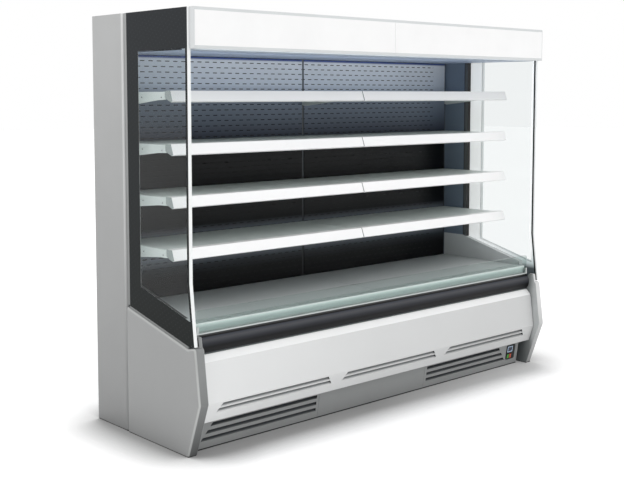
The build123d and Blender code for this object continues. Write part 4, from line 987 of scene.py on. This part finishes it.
class FRIDGE_OT_deck(bpy.types.Operator):
    """Finishes the deck, the return grille and the riser glass"""

    bl_idname = "fridge.deck"
    bl_label = "Deck and riser"

    def execute(self, context):
        dress(powder_coated_steel("Deck, powder-coated steel", [(-0.33, 0xC4C8C8), (0.31, 0xBDC1C2)],
                                  axis="Y"), *both("deck_tray"))
        # painted light: the front of the grille is painted brighter up to its edge, with a white painted
        # highlight along its fold, and the flat top is greyer
        dress(powder_coated_steel("Return grille, powder-coated steel", [
            (0.548, 0xC6CCCB), (0.566, 0xC6CCCB), (0.568, 0xBCC8C7), (0.580, 0xBCC8C7), (0.586, 0xCCD6D5),
            (0.5965, 0xF0F8F7), (0.5975, 0xFFFFFF), (0.6025, 0xFFFFFF), (0.6035, 0xB9C2C1),
        ]), "return_grille")
        dress(toughened_glass("Riser glass, toughened float glass", 0xE6EDEB), "riser_glass")
        dress(riser_rail_plastic("Riser rail, extruded PVC with painted shade"), "riser_rail")
        return {"FINISHED"}


class FRIDGE_OT_front(bpy.types.Operator):
    """Finishes the bumper, the front panel and the kick plates"""

    bl_idname = "fridge.front"
    bl_label = "Front"

    def execute(self, context):
        paints = context.scene.fridge_paints
        dress(bumper_plastic(paints), "bumper")
        dress(folded_panel_steel(paints), "front_panel")
        dress(kick_steel(paints), *both("kick_grille"), "kick_panel_centre")
        # a fine black mesh stops dust behind the slots, and its black keeps the slots dark as painted
        # shade; black rubber strips at the floor stand in for the contact shadow there, as painted shadow
        mesh = moulded_plastic("Intake mesh, woven and black", 0x2A2B2D, 0.8)
        rubber = seal_rubber("Floor shadow strip, black EPDM", 0x141516)
        lip, margin = 4.2 * MM, 2 * MM
        for name, _ in SIDES:
            low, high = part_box(f"kick_grille_{name}")
            # the slots of the right plate stop short of the control housing
            strip(f"intake_mesh_{name}", mesh, slab(-0.2885, -0.2875, 0.010, 0.130),
                  low.x + 0.004, high.x - (0.120 if name == "right" else 0.004))
            for piece, node, y0, y1 in (("floor_shadow_strip", "lower_end_panel", -0.348, 0.147),
                                        ("column_shadow_strip", "rear_column", 0.165, 0.438)):
                low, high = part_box(f"{node}_{name}")
                strip(f"{piece}_{name}", rubber, slab(y0, y1, 0.0, lip),
                      low.x + margin, high.x - margin)
        strip("kick_shadow_strip", rubber, slab(-0.3022, -0.2985, 0.0, 0.0065), -1.2, 1.2)
        return {"FINISHED"}


class FRIDGE_OT_controls(bpy.types.Operator):
    """Finishes the control housing, the display and the rockers"""

    bl_idname = "fridge.controls"
    bl_label = "Controls"

    def execute(self, context):
        dress(moulded_plastic("Control housing, moulded ABS", 0x0C0D0E, 0.45), "control_housing")
        low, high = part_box("thermostat_display")
        dress(display_window((low + high) / 2), "thermostat_display")
        dress(moulded_plastic("Power rocker, moulded polycarbonate", 0x4FA53A, 0.22), "rocker_power")
        dress(moulded_plastic("Light rocker, moulded polycarbonate", 0xD0573A, 0.22), "rocker_light")
        return {"FINISHED"}


class FRIDGE_OT_carcass(bpy.types.Operator):
    """Finishes the insulated walls, the base and the feet, and adds the rear screws"""

    bl_idname = "fridge.carcass"
    bl_label = "Carcass"

    def execute(self, context):
        dress(galvanised_sheet("Roof, galvanised steel", 0xC2C6C8), "roof_panel")
        dress(rear_wall_sheet("Rear wall, galvanised steel with painted shade", 0xC2C6C8), "rear_wall")
        dress(powder_coated_steel("Trough, powder-coated steel", [(0.34, 0x9EA3A4), (0.55, 0xA8B8B5)]),
              "bottom_trough")
        dress(powder_coated_steel("Base frame, enamelled steel", [(0.0, 0x2A2C2E), (0.4, 0x3A3D40)]),
              "base_frame")
        dress(moulded_plastic("Levelling foot, moulded nylon", 0x1A1B1C, 0.55), "levelling_feet")
        steel = galvanised_sheet("Rear screws, zinc-plated steel", 0x9A9EA0)
        # along the top and the foot of the rear wall, and up both of its sides
        rear = 0.4400
        places = [(x * 0.30, rear, z) for x in range(-4, 5) for z in (0.09, 1.99)]
        places += [(side * 1.215, rear, 0.32 + 0.27 * k) for _, side in SIDES for k in range(6)]
        pan_heads("rear_screws", CABINET, steel, places, (0, 1, 0),
                  context.scene.fridge_sizes.screw_head)
        return {"FINISHED"}


class FRIDGE_OT_cooling(bpy.types.Operator):
    """Finishes the evaporator, the fans and the condensing unit"""

    bl_idname = "fridge.cooling"
    bl_label = "Cooling"

    def execute(self, context):
        dress(finned_aluminium("Evaporator, aluminium fins"), "evaporator")
        dress(galvanised_sheet("Fan plate, galvanised steel", 0xA8ACAE), "fan_plate")
        dress(moulded_plastic("Fan, moulded polypropylene", 0x1C1D1F, 0.5),
              *both("evaporator_fan"), "condenser_fan")
        dress(powder_coated_steel("Condensing unit, enamelled steel", [(0.06, 0x1B1C1E), (0.31, 0x2A2B2E)],
                                  roughness=0.3), "condensing_unit")
        return {"FINISHED"}


class FRIDGE_OT_stage(bpy.types.Operator):
    """Sets the floor, the light and the camera"""

    bl_idname = "fridge.stage"
    bl_label = "Stage"

    def execute(self, context):
        scene = context.scene
        stage = scene.fridge_stage
        scene.view_settings.view_transform = "Standard"
        studio_floor(stage)
        studio_sky(scene, stage)
        studio_lamps(stage)
        studio_camera(scene, stage)
        return {"FINISHED"}


STEPS = (
    FRIDGE_OT_end_panels, FRIDGE_OT_end_glass, FRIDGE_OT_canopy, FRIDGE_OT_lining,
    FRIDGE_OT_shelves, FRIDGE_OT_deck, FRIDGE_OT_front, FRIDGE_OT_controls,
    FRIDGE_OT_carcass, FRIDGE_OT_cooling, FRIDGE_OT_stage,
)


class FRIDGE_PT_dressing(bpy.types.Panel):
    """Lists the steps that dress the fridge"""

    bl_idname = "FRIDGE_PT_dressing"
    bl_label = "Display fridge"
    bl_space_type = "VIEW_3D"
    bl_region_type = "UI"
    bl_category = "Fridge"

    def draw(self, context):
        for step in STEPS:
            self.layout.operator(step.bl_idname)
        for group in (context.scene.fridge_paints, context.scene.fridge_sizes, context.scene.fridge_stage):
            for name in group.bl_rna.properties.keys():
                if name not in ("rna_type", "name"):
                    self.layout.prop(group, name)


CLASSES = (FridgePaints, FridgeSizes, FridgeStage, *STEPS, FRIDGE_PT_dressing)


def register():
    for cls in CLASSES:
        bpy.utils.register_class(cls)
    bpy.types.Scene.fridge_paints = bpy.props.PointerProperty(type=FridgePaints)
    bpy.types.Scene.fridge_sizes = bpy.props.PointerProperty(type=FridgeSizes)
    bpy.types.Scene.fridge_stage = bpy.props.PointerProperty(type=FridgeStage)


def unregister():
    del bpy.types.Scene.fridge_stage
    del bpy.types.Scene.fridge_sizes
    del bpy.types.Scene.fridge_paints
    for cls in reversed(CLASSES):
        bpy.utils.unregister_class(cls)


def main():
    """Dresses the fridge."""
    register()
    for step in STEPS:
        getattr(bpy.ops.fridge, step.bl_idname.removeprefix("fridge."))()


if __name__ == "__main__":
    main()
